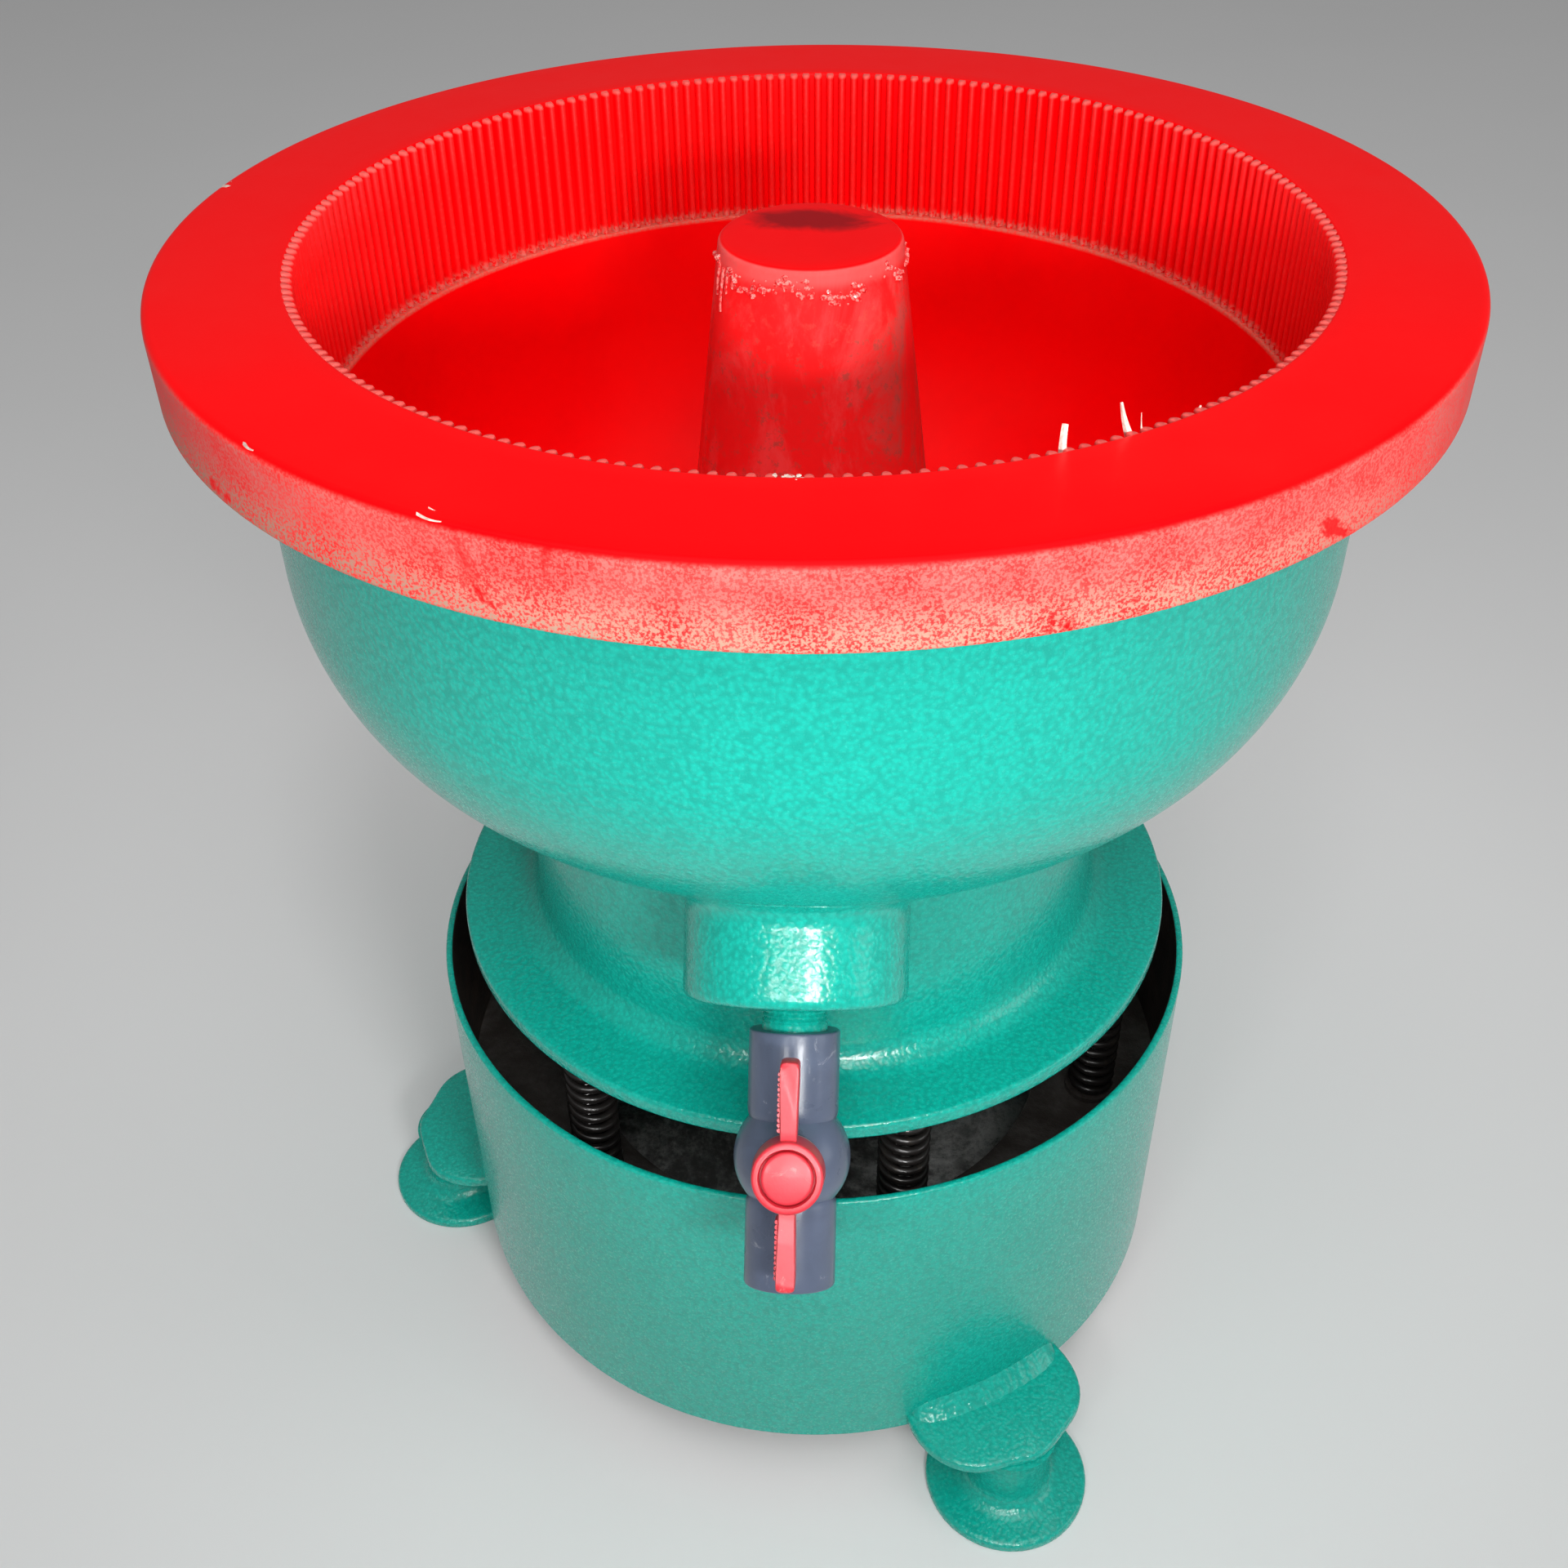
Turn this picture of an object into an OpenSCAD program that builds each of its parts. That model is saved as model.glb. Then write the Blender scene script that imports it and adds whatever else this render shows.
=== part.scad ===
// Bowl-type vibratory rock tumbler: a lined bowl with its motor hangs on six springs over a round base.
// Units are millimetres, +Z is up, the origin is on the floor at the machine's axis, the drain faces -Y.

/* [Machine] */
// Height of the rim above the floor
total_h = 580; // [570:1:600]
// Radius of the polyurethane rim
rim_r = 250; // [245:1:256]
// Height of the rim's outer band
rim_band_h = 30; // [26:1:34]

/* [Bowl] */
// Outer radius of the cast bowl below the rim
bowl_r = 220; // [216:1:224]
// Radius of the bowl's lower curve, outside
bowl_curve_r = 105; // [100:1:108]
// Thickness of the cast wall
bowl_wall = 9; // [7:1:11]
// Thickness of the lining on the wall
liner_wall = 17; // [14:1:19]
// Radius of the hub cone at its top
hub_top_r = 36; // [34:1:40]
// Outer radius of the neck where it meets the bowl
neck_r = 131; // [129:1:133]
// Radius of the spring flange
flange_r = 173.5; // [171:0.5:175]
// Height of the flange's underside above the floor
flange_z = 248; // [246:1:250]

/* [Drain] */
// Angle between the drain axis and the vertical
drain_angle = 39; // [37:1:41]
// Radius of the drain boss
boss_r = 44.5; // [42:0.5:46]
// Length of the ball valve between its ends
valve_l = 100; // [98:1:104]
// Radius of the socket that takes a pipe
socket_r = 12.6; // [12.5:0.05:12.75]

/* [Base] */
// Outer radius of the drum
drum_r = 187.5; // [186:0.5:190]
// Height of the drum's lower edge above the floor
drum_z = 41; // [41:1:43]
// Height of the drum's upper edge above the floor
drum_top = 223; // [220:1:226]
// Distance of each foot from the machine's axis
foot_circle_r = 209; // [208:0.5:209]
// Radius of a foot's round base
foot_r = 40.5; // [38:0.5:40.5]

/* [Springs] */
// Number of springs
spring_count = 6; // [6:6:6]
// Distance of each spring from the machine's axis
spring_circle_r = 151; // [150:0.5:152]
// Mean radius of the coil
coil_r = 10; // [9.5:0.1:10.2]
// Radius of the spring wire
wire_r = 2; // [1.8:0.1:2.1]
// Number of turns
coil_turns = 15; // [13:1:16]

/* [Hidden] */
$fn = 96;
gap = 0.03; // running clearance of a shaft or pin
step = 0.3; // clearance between parts that move past each other

bowl_curve_x = bowl_r - bowl_curve_r;
bowl_curve_z = total_h - 108;
channel_r = bowl_curve_r - bowl_wall - liner_wall;
lip_top = total_h - 14;
bowl_floor = bowl_curve_z - bowl_curve_r;
channel_floor = bowl_curve_z - channel_r;
hub_slope = 0.1226;
hub_top = total_h - 3;

neck_wall = 8;
neck_base_r = neck_r + 5;
flange_h = 8;
web_h = 14;
web_top = flange_z + web_h;
fillet_r = 14;

shelf_top = 130;
shelf_h = 4;
shelf_in_r = 122;
drum_wall = 3.5;
drum_in_r = drum_r - drum_wall;
plate_h = 4;
gland_z = 85;

seat_h = 3;
spigot_h = 12;
spring_low = shelf_top + seat_h + step;
spring_high = flange_z - seat_h - step;
first_spring = 48;

motor_r = 72;
motor_flange_r = 98;
motor_flange_h = 8;
motor_top = 286;
motor_low = 150;
cover_h = 10;
motor_bolt_circle = 86;
shaft_r = 12.5;
shaft_low = 116;
shaft_top = 332;
bearing_r = 31;
bearing_h = 16;
core_low = 178;
core_h = 66;
core_r = 37;
weight_h = 18;
upper_weight_z = 302;
lower_weight_z = 118;
weight_hub_r = 24;
clamp_x = 16;
clamp_y = 18.5;

boss_face_y = 175;
boss_face_z = 336;
drain_bore_r = 10;
nipple_r = 13;
valve_gap = 12;
valve_r = 18;
ball_r = 14;
stem_r = 4;
stem_face = 27;
stem_top = 35;
seal_heights = [17, 21];
handle_low = stem_face + 2.3;
handle_high = 43.5;
wing_reach = 43;
wing_w = 8;

tab_h = 6;
tab_top = drum_z + 9;
pad_h = 5;
anchor_r = 4.25;

// ---- helpers

// A ring or disc standing on height z.
module ring(outer, inner, z, h) {
    translate([0, 0, z]) difference() {
        cylinder(r = outer, h = h);
        if (inner > 0) translate([0, 0, -1]) cylinder(r = inner, h = h + 2);
    }
}

// Repeats its children at equal angles round the axis.
module around(count, radius, start = 0) {
    for (i = [0:count - 1]) rotate([0, 0, start + i * 360 / count]) translate([radius, 0, 0]) children();
}

// Half section of a bowl with a quarter-round lower curve of radius r, filled to the given height.
module bowl_section(r, top) {
    translate([0, bowl_curve_z - r]) square([bowl_curve_x, top - bowl_curve_z + r]);
    translate([0, bowl_curve_z]) square([bowl_curve_x + r, top - bowl_curve_z]);
    intersection() {
        translate([bowl_curve_x, bowl_curve_z]) circle(r = r);
        translate([bowl_curve_x - 1, bowl_curve_z - r]) square([r + 1, r]);
    }
}

// Half section of the cone in the middle of the bowl.
module hub_section(inset, low, top) {
    low_r = hub_top_r - inset + (hub_top - low) * hub_slope;
    top_r = hub_top_r - inset + (hub_top - top) * hub_slope;
    polygon([[0, low], [low_r, low], [top_r, top], [0, top]]);
}

// Places children on the drain axis: z = 0 on the boss's face, +Z outwards, +Y towards the valve's stem.
module on_drain() {
    translate([0, -boss_face_y, boss_face_z]) rotate([180 - drain_angle, 0, 0]) children();
}

// The same, with z = 0 at the middle of the valve.
module on_valve() {
    on_drain() translate([0, 0, valve_gap + valve_l / 2]) children();
}

// Hexagonal bolt head with its shank downwards.
module hex_bolt(shank_r, shank_l, head_r, head_h) {
    cylinder(r = head_r, h = head_h, $fn = 6);
    translate([0, 0, -shank_l]) cylinder(r = shank_r, h = shank_l + 0.5);
}

// ---- bowl

module casting_section() {
    difference() {
        bowl_section(bowl_curve_r, lip_top);
        bowl_section(bowl_curve_r - bowl_wall, total_h);
    }
    translate([bowl_r - bowl_wall, lip_top - 10]) square([27, 10]);
}

module neck_section() {
    top = bowl_floor + bowl_wall;
    polygon([[neck_r - neck_wall, top], [neck_r, top], [neck_base_r, web_top], [neck_base_r, flange_z],
        [neck_base_r - neck_wall, flange_z], [neck_base_r - neck_wall, web_top]]);
    translate([motor_r + 3, flange_z]) square([neck_base_r - motor_r - 3, web_h]);
    translate([neck_base_r - 1, flange_z]) square([flange_r - neck_base_r + 1, flange_h]);
    difference() {
        translate([neck_base_r - 1, flange_z + 1]) square([fillet_r + 1, flange_h - 1 + fillet_r]);
        translate([neck_base_r + fillet_r, flange_z + flange_h + fillet_r]) circle(r = fillet_r);
    }
}

module bowl_casting() {
    color("mediumseagreen") difference() {
        union() {
            rotate_extrude() casting_section();
            rotate_extrude() neck_section();
            difference() {
                on_drain() translate([0, 0, -78]) cylinder(r = boss_r, h = 78);
                rotate_extrude() bowl_section(bowl_curve_r - bowl_wall / 2, total_h);
            }
        }
        on_drain() translate([0, 0, -90]) cylinder(r = nipple_r + gap, h = 100);
        around(6, motor_bolt_circle) translate([0, 0, flange_z - 1]) cylinder(r = 4, h = 11);
        translate([0, 0, bowl_floor - 1]) cylinder(r = 8.2, h = bowl_wall + 2);
    }
}

module liner_section() {
    difference() {
        union() {
            bowl_section(bowl_curve_r - bowl_wall - 0.02, total_h - 1);
            translate([0, total_h - rim_band_h]) square([rim_r, rim_band_h - 3]);
            translate([0, total_h - 4]) square([rim_r - 3, 4]);
            translate([rim_r - 3, total_h - 3]) circle(r = 3);
        }
        difference() {
            bowl_section(channel_r, total_h + 5);
            hub_section(0, channel_floor - 5, hub_top);
        }
        casting_section();
        square([bowl_curve_x, bowl_floor + bowl_wall]);
        hub_section(9, bowl_floor + bowl_wall - 1, hub_top - 10);
    }
}

module bowl_liner() {
    color("red") difference() {
        rotate_extrude() liner_section();
        on_drain() translate([0, 0, -110]) cylinder(r = drain_bore_r, h = 110);
        on_drain() translate([0, 0, -92]) cylinder(r = 16.2, h = 26);
    }
}

module hub_core() {
    low = bowl_floor + bowl_wall;
    color("dimgray") difference() {
        rotate_extrude() hub_section(9.05, low, hub_top - 10.05);
        translate([0, 0, low - 1]) cylinder(r = 8, h = 61);
    }
}

module hub_tie_bolt() {
    color("silver") translate([0, 0, bowl_floor]) mirror([0, 0, 1]) {
        ring(18, 8.2, 0, 3);
        translate([0, 0, 3]) cylinder(r = 13.8, h = 10, $fn = 6);
        translate([0, 0, -60]) cylinder(r = 7.95, h = 65);
    }
}

module drain_strainer() {
    color("silver") on_drain() translate([0, 0, -70]) difference() {
        cylinder(r = 16, h = 3);
        translate([0, 0, -1]) cylinder(r = 2.2, h = 5);
        around(6, 6.5) translate([0, 0, -1]) cylinder(r = 2.2, h = 5);
    }
}

// ---- drain valve

module drain_nipple() {
    inside = 20;
    color("mediumseagreen") on_drain() difference() {
        translate([0, 0, -inside]) cylinder(r = nipple_r, h = inside + valve_gap + 18);
        translate([0, 0, -inside - 1]) cylinder(r = drain_bore_r, h = inside + valve_gap + 20);
    }
}

module valve_body() {
    half = valve_l / 2;
    socket_l = 22;
    color("slategray") on_valve() difference() {
        union() {
            translate([0, 0, -half]) cylinder(r = valve_r, h = valve_l);
            sphere(r = 23.2);
            rotate([-90, 0, 0]) cylinder(r = 12.5, h = stem_face);
        }
        sphere(r = ball_r + 1);
        translate([0, 0, -half - 1]) cylinder(r = 9.5, h = valve_l + 2);
        translate([0, 0, -14]) cylinder(r = 11.5, h = 28);
        translate([0, 0, half - socket_l]) cylinder(r = socket_r, h = socket_l + 1);
        translate([0, 0, -half - 1]) cylinder(r = nipple_r + gap, h = 20);
        rotate([-90, 0, 0]) cylinder(r = stem_r + gap, h = stem_face + 1);
    }
}

module valve_seats() {
    color("white") on_valve() for (side = [0, 1]) mirror([0, 0, side]) difference() {
        translate([0, 0, 9]) cylinder(r = 11.45, h = 4.9);
        translate([0, 0, 8]) cylinder(r = 9.3, h = 7);
        sphere(r = ball_r + gap);
    }
}

module valve_seal_ring() {
    color("gainsboro") on_valve() rotate([-90, 0, 0]) ring(13.6, stem_r + step, stem_face, 2);
}

module valve_ball() {
    color("lightslategray") on_valve() difference() {
        sphere(r = ball_r);
        translate([0, 0, -ball_r - 1]) cylinder(r = 9.3, h = 2 * ball_r + 2);
        rotate([-90, 0, 0]) translate([0, 0, 10.5]) cylinder(r = 3, h = 5);
    }
}

module valve_stem() {
    color("white") on_valve() rotate([-90, 0, 0]) difference() {
        union() {
            translate([0, 0, ball_r + 0.1]) cylinder(r = stem_r, h = stem_top - ball_r - 0.1);
            translate([0, 0, 10.5]) cylinder(r = 2.95, h = 4);
        }
        for (z = seal_heights) ring(stem_r + 1, 2.4, z - 0.85, 1.7);
    }
}

module stem_o_rings() {
    color("black") on_valve() rotate([-90, 0, 0]) for (z = seal_heights)
        translate([0, 0, z]) rotate_extrude() translate([3.2, 0]) circle(r = 0.78);
}

module valve_handle() {
    wing_low = handle_low + 1;
    wing_h = 11;
    color("crimson") on_valve() rotate([-90, 0, 0]) difference() {
        union() {
            translate([0, 0, handle_low]) cylinder(r = 14, h = handle_high - handle_low);
            for (end = [-1, 1]) {
                translate([-wing_w / 2, end > 0 ? 0 : -wing_reach + 4, wing_low])
                    cube([wing_w, wing_reach - 4, wing_h]);
                translate([0, end * (wing_reach - 4), wing_low]) cylinder(r = wing_w / 2, h = wing_h);
            }
        }
        translate([0, 0, handle_high - 3]) cylinder(r = 10.5, h = 4);
        translate([0, 0, handle_low - 1]) cylinder(r = stem_r + 0.05, h = stem_top - handle_low + 1.05);
    }
}

module handle_cap() {
    color("crimson") on_valve() rotate([-90, 0, 0])
        translate([0, 0, handle_high - 3]) cylinder(r = 10.2, h = 3.6);
}

// ---- motor under the bowl

module motor_housing() {
    color("dimgray") difference() {
        union() {
            ring(motor_r, motor_r - 6, motor_low, motor_top - motor_low);
            ring(motor_flange_r, motor_r - 6, flange_z - motor_flange_h, motor_flange_h);
            around(12, motor_r, 15) translate([-1, -2, motor_low]) cube([9, 4, 80]);
        }
        around(6, motor_bolt_circle) translate([0, 0, flange_z - motor_flange_h - 1])
            cylinder(r = 4.5, h = motor_flange_h + 2);
    }
}

module motor_bolts() {
    color("silver") around(6, motor_bolt_circle) translate([0, 0, flange_z - motor_flange_h])
        mirror([0, 0, 1]) hex_bolt(3.95, 17, 7.4, 5.5);
}

// End cover of the motor with its bearing pocket, standing on its outer face.
module end_cover() {
    difference() {
        union() {
            cylinder(r = motor_r, h = cover_h);
            cylinder(r = bearing_r + 5, h = cover_h + bearing_h);
        }
        translate([0, 0, cover_h]) cylinder(r = bearing_r + 0.02, h = bearing_h + 1);
        translate([0, 0, -1]) cylinder(r = shaft_r + 2, h = cover_h + 2);
    }
}

module motor_top_cover() {
    color("gray") translate([0, 0, motor_top + cover_h]) mirror([0, 0, 1]) end_cover();
}

module motor_bottom_cover() {
    color("gray") translate([0, 0, motor_low - cover_h]) end_cover();
}

// Ball bearing with recessed shields, standing on height z.
module bearing(z) {
    translate([0, 0, z]) difference() {
        cylinder(r = bearing_r, h = bearing_h);
        translate([0, 0, -1]) cylinder(r = shaft_r + gap, h = bearing_h + 2);
        for (face = [-0.5, bearing_h - 1]) ring(bearing_r - 4, shaft_r + 4, face, 1.5);
    }
}

module upper_bearing() {
    color("silver") bearing(motor_top - bearing_h);
}

module lower_bearing() {
    color("silver") bearing(motor_low);
}

module stator_core() {
    color("slategray") difference() {
        ring(motor_r - 6.02, core_r + 0.5, core_low, core_h);
        around(24, core_r + 4) translate([0, 0, core_low - 1]) cylinder(r = 2.4, h = core_h + 2);
    }
}

module stator_windings() {
    color("peru") {
        ring(58, 42, core_low - 9, 8.9);
        ring(58, 42, core_low + core_h + 0.1, 8.9);
    }
}

module terminal_box() {
    color("dimgray") rotate([0, 0, 120]) difference() {
        union() {
            translate([motor_r + 8.2, -22, 182]) cube([20, 44, 36]);
            translate([motor_r + 0.05, -12, 188]) cube([9, 24, 24]);
        }
        translate([motor_r + 11, -19, 185]) cube([14, 38, 30]);
        translate([motor_r + 18, 0, 180]) cylinder(r = 5, h = 6);
    }
}

module motor_shaft() {
    color("silver") translate([0, 0, shaft_low]) cylinder(r = shaft_r, h = shaft_top - shaft_low);
}

module rotor_core() {
    color("darkgray") ring(core_r, shaft_r + 0.02, core_low, core_h);
}

// Half-round eccentric weight with a split clamping hub.
module eccentric(outer, z) {
    translate([0, 0, z]) difference() {
        union() {
            intersection() {
                cylinder(r = outer, h = weight_h);
                translate([-outer, 0, 0]) cube([2 * outer, outer, weight_h]);
            }
            cylinder(r = weight_hub_r, h = weight_h);
        }
        translate([0, 0, -1]) cylinder(r = shaft_r + gap, h = weight_h + 2);
        translate([-1.5, -weight_hub_r - 2, -1]) cube([3, weight_hub_r - shaft_r + 4, weight_h + 2]);
        translate([0, -clamp_y, weight_h / 2]) rotate([0, -90, 0]) {
            translate([0, 0, -weight_hub_r]) cylinder(r = 3.1, h = 2 * weight_hub_r);
            translate([0, 0, clamp_x]) cylinder(r = 6.5, h = weight_hub_r);
        }
    }
}

module clamp_bolt(z) {
    translate([-clamp_x, -clamp_y, z + weight_h / 2]) rotate([0, -90, 0]) {
        cylinder(r = 5.5, h = 6, $fn = 6);
        translate([0, 0, -clamp_x - 14]) cylinder(r = 3, h = clamp_x + 15);
    }
}

module upper_weight() {
    color("dimgray") eccentric(68, upper_weight_z);
}

module upper_weight_bolt() {
    color("silver") clamp_bolt(upper_weight_z);
}

module lower_weight() {
    color("dimgray") eccentric(60, lower_weight_z);
}

module lower_weight_bolt() {
    color("silver") clamp_bolt(lower_weight_z);
}

// ---- springs

// Points of a ring of the coil's wire at a turn t.
function coil_ring(t, sides) = [for (i = [0:sides - 1])
    let (a = 360 * t, b = 360 * i / sides, r = coil_r + wire_r * cos(b))
    [r * cos(a), r * sin(a), wire_r + (spring_high - spring_low - 2 * wire_r) * t / coil_turns
        + wire_r * sin(b)]];

module coil_spring() {
    sides = 5;
    per_turn = 8;
    rings = coil_turns * per_turn;
    points = [for (k = [0:rings]) each coil_ring(k / per_turn, sides)];
    skin = [for (k = [0:rings - 1], i = [0:sides - 1])
        let (a = k * sides + i, b = k * sides + (i + 1) % sides)
        each [[a, a + sides, b + sides], [a, b + sides, b]]];
    start = [for (i = [1:sides - 2]) [0, i, i + 1]];
    last = rings * sides;
    end = [for (i = [1:sides - 2]) [last, last + i + 1, last + i]];
    polyhedron(points = points, faces = concat(skin, start, end), convexity = 10);
}

module springs() {
    color("black") around(spring_count, spring_circle_r, first_spring)
        translate([0, 0, spring_low]) coil_spring();
}

module spring_cup() {
    cylinder(r = 13, h = seat_h);
    cylinder(r = 6.2, h = spigot_h);
}

module upper_spring_cups() {
    color("dimgray") around(spring_count, spring_circle_r, first_spring)
        translate([0, 0, flange_z]) mirror([0, 0, 1]) spring_cup();
}

module lower_spring_cups() {
    color("dimgray") around(spring_count, spring_circle_r, first_spring)
        translate([0, 0, shelf_top]) spring_cup();
}

// ---- base

module spring_shelf() {
    color("black") ring(drum_in_r, shelf_in_r, shelf_top - shelf_h, shelf_h);
}

module drum_shell() {
    color("mediumseagreen") difference() {
        ring(drum_r, drum_in_r, drum_z, drum_top - drum_z);
        translate([0, drum_in_r - 6, gland_z]) rotate([-90, 0, 0]) cylinder(r = 8.2, h = 14);
    }
}

module bottom_plate() {
    color("dimgray") ring(drum_in_r, 0, drum_z, plate_h);
}

module cable_gland() {
    color("black") translate([0, drum_r, gland_z]) rotate([-90, 0, 0]) difference() {
        union() {
            cylinder(r = 12, h = 5, $fn = 6);
            translate([0, 0, -13]) cylinder(r = 8, h = 14);
            translate([0, 0, 4]) cylinder(r = 9, h = 12);
        }
        translate([0, 0, -14]) cylinder(r = 4.5, h = 32);
    }
}

module gland_nut() {
    color("black") translate([0, drum_in_r - 5.5, gland_z]) rotate([-90, 0, 0]) difference() {
        cylinder(r = 12, h = 5, $fn = 6);
        translate([0, 0, -1]) cylinder(r = 8.02, h = 7);
    }
}

// Rounded plate welded to the drum's side, drawn along +X.
module foot_tab() {
    half = 44;
    corner = 28;
    color("mediumseagreen") difference() {
        translate([0, 0, tab_top - tab_h]) linear_extrude(tab_h) union() {
            translate([drum_r - 20, -half]) square([20, 2 * half]);
            for (side = [-1, 1]) translate([drum_r - 2, side * (half - corner)]) circle(r = corner);
            translate([foot_circle_r - 4, 0]) circle(r = 25);
        }
        translate([0, 0, tab_top - tab_h - 1]) cylinder(r = drum_r + 0.02, h = tab_h + 2);
    }
}

// Column and round base of a foot, one turned and welded piece.
module foot_stand() {
    column_r = 20;
    flare = 8;
    height = tab_top - tab_h;
    color("mediumseagreen") translate([foot_circle_r, 0, 0]) difference() {
        union() {
            rotate_extrude() difference() {
                union() {
                    square([foot_r, pad_h]);
                    square([column_r + flare, pad_h + flare]);
                }
                translate([column_r + flare, pad_h + flare]) circle(r = flare);
            }
            cylinder(r = column_r, h = height);
        }
        translate([0, 0, -1]) cylinder(r = anchor_r, h = 26);
    }
}

module foot_tab_right() { rotate([0, 0, -60]) foot_tab(); }
module foot_tab_rear() { rotate([0, 0, 60]) foot_tab(); }
module foot_tab_left() { rotate([0, 0, 180]) foot_tab(); }
module foot_stand_right() { rotate([0, 0, -60]) foot_stand(); }
module foot_stand_rear() { rotate([0, 0, 60]) foot_stand(); }
module foot_stand_left() { rotate([0, 0, 180]) foot_stand(); }

bowl_casting();
bowl_liner();
hub_core();
hub_tie_bolt();
drain_strainer();
drain_nipple();
valve_body();
valve_seats();
valve_seal_ring();
valve_ball();
valve_stem();
stem_o_rings();
valve_handle();
handle_cap();
upper_spring_cups();
motor_housing();
motor_bolts();
motor_top_cover();
motor_bottom_cover();
upper_bearing();
lower_bearing();
stator_core();
stator_windings();
terminal_box();
motor_shaft();
rotor_core();
upper_weight();
upper_weight_bolt();
lower_weight();
lower_weight_bolt();
springs();
lower_spring_cups();
spring_shelf();
drum_shell();
bottom_plate();
cable_gland();
gland_nut();
foot_tab_right();
foot_tab_rear();
foot_tab_left();
foot_stand_right();
foot_stand_rear();
foot_stand_left();
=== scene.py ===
"""Looks of a bowl-type vibratory rock tumbler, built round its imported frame."""
import math
import random

import bmesh
import bpy
import numpy as np
from mathutils import Matrix, Vector


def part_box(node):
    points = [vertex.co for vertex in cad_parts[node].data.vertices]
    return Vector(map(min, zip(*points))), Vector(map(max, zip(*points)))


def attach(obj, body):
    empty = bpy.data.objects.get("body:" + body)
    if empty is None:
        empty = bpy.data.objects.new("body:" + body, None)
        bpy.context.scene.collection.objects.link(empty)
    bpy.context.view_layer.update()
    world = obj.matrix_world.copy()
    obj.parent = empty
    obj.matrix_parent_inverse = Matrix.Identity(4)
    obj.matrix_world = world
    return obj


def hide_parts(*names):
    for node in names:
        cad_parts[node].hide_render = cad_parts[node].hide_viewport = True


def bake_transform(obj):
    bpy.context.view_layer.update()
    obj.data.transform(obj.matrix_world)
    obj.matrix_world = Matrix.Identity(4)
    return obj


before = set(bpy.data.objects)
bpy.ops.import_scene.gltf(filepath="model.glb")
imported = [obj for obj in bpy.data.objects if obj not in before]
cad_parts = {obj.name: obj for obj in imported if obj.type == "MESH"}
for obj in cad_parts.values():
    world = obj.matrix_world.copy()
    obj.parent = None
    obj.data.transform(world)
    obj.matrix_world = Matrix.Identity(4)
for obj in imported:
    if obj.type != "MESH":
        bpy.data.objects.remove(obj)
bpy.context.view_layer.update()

bl_info = {
    "name": "Vibratory Tumbler",
    "version": (1, 0, 0),
    "blender": (4, 5, 0),
    "location": "View3D > Sidebar > Tumbler",
    "description": "Builds the lined bowl, springs, base and drain valve of a vibratory rock tumbler",
    "category": "Object",
}

MM = 0.001
TURN = 2 * math.pi


def top_of(node):
    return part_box(node)[1].z / MM


def low_of(node):
    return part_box(node)[0].z / MM


def reach_of(node):
    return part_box(node)[1].x / MM


# Driving places, in millimetres, read from the frame.
RIM_TOP = top_of("bowl_liner")
RIM_R = reach_of("bowl_liner")
LIP_TOP = top_of("bowl_casting")
LIP_R = reach_of("bowl_casting")
FLANGE_LOW = low_of("bowl_casting")
DRUM_LOW = low_of("drum_shell")
DRUM_TOP = top_of("drum_shell")
DRUM_R = reach_of("drum_shell")
SHELF_TOP = top_of("spring_shelf")
TAB_TOP = top_of("foot_tab_left")
TAB_LOW = low_of("foot_tab_left")
FOOT_R = (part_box("foot_stand_left")[1].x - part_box("foot_stand_left")[0].x) / MM / 2
FOOT_CIRCLE = -(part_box("foot_stand_left")[1].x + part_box("foot_stand_left")[0].x) / MM / 2

# Proportions of the casting and its lining.
BOWL_R = 220.0
CURVE_X = 115.0
CURVE_Z = RIM_TOP - 108.0
CURVE_R = 105.0
WALL = 9.0
CHANNEL_R = 80.5
BAND_H = 30.0
RIB_ROOT_R = 200.0
RIB_LOW = RIM_TOP - 66.0
HUB_TOP = RIM_TOP - 3.0
HUB_TOP_R = 36.0
HUB_SLOPE = 0.1226
NECK_R = 131.0
NECK_BASE_R = 136.0
FLANGE_R = 173.5
FLANGE_H = 8.0

# The drain axis: a point on the boss's face and the valve's middle.
DRAIN_TILT = math.radians(39)
BOSS_FACE = Vector((0, -175.0, 336.0))
BOSS_R = 44.5
VALVE_MIDDLE = 62.0
VALVE_HALF = 50.0
AXIS_OUT = Vector((0, -math.sin(DRAIN_TILT), -math.cos(DRAIN_TILT)))
AXIS_STEM = Vector((0, -math.cos(DRAIN_TILT), math.sin(DRAIN_TILT)))

SPRING_CIRCLE = 151.0
SPRING_LOW = SHELF_TOP + 3.0
SPRING_HIGH = FLANGE_LOW - 3.0
FIRST_SPRING = math.radians(48)
FOOT_TURNS = {"right": -60.0, "rear": 60.0, "left": 180.0}


# ---------------------------------------------------------------- settings


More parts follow.
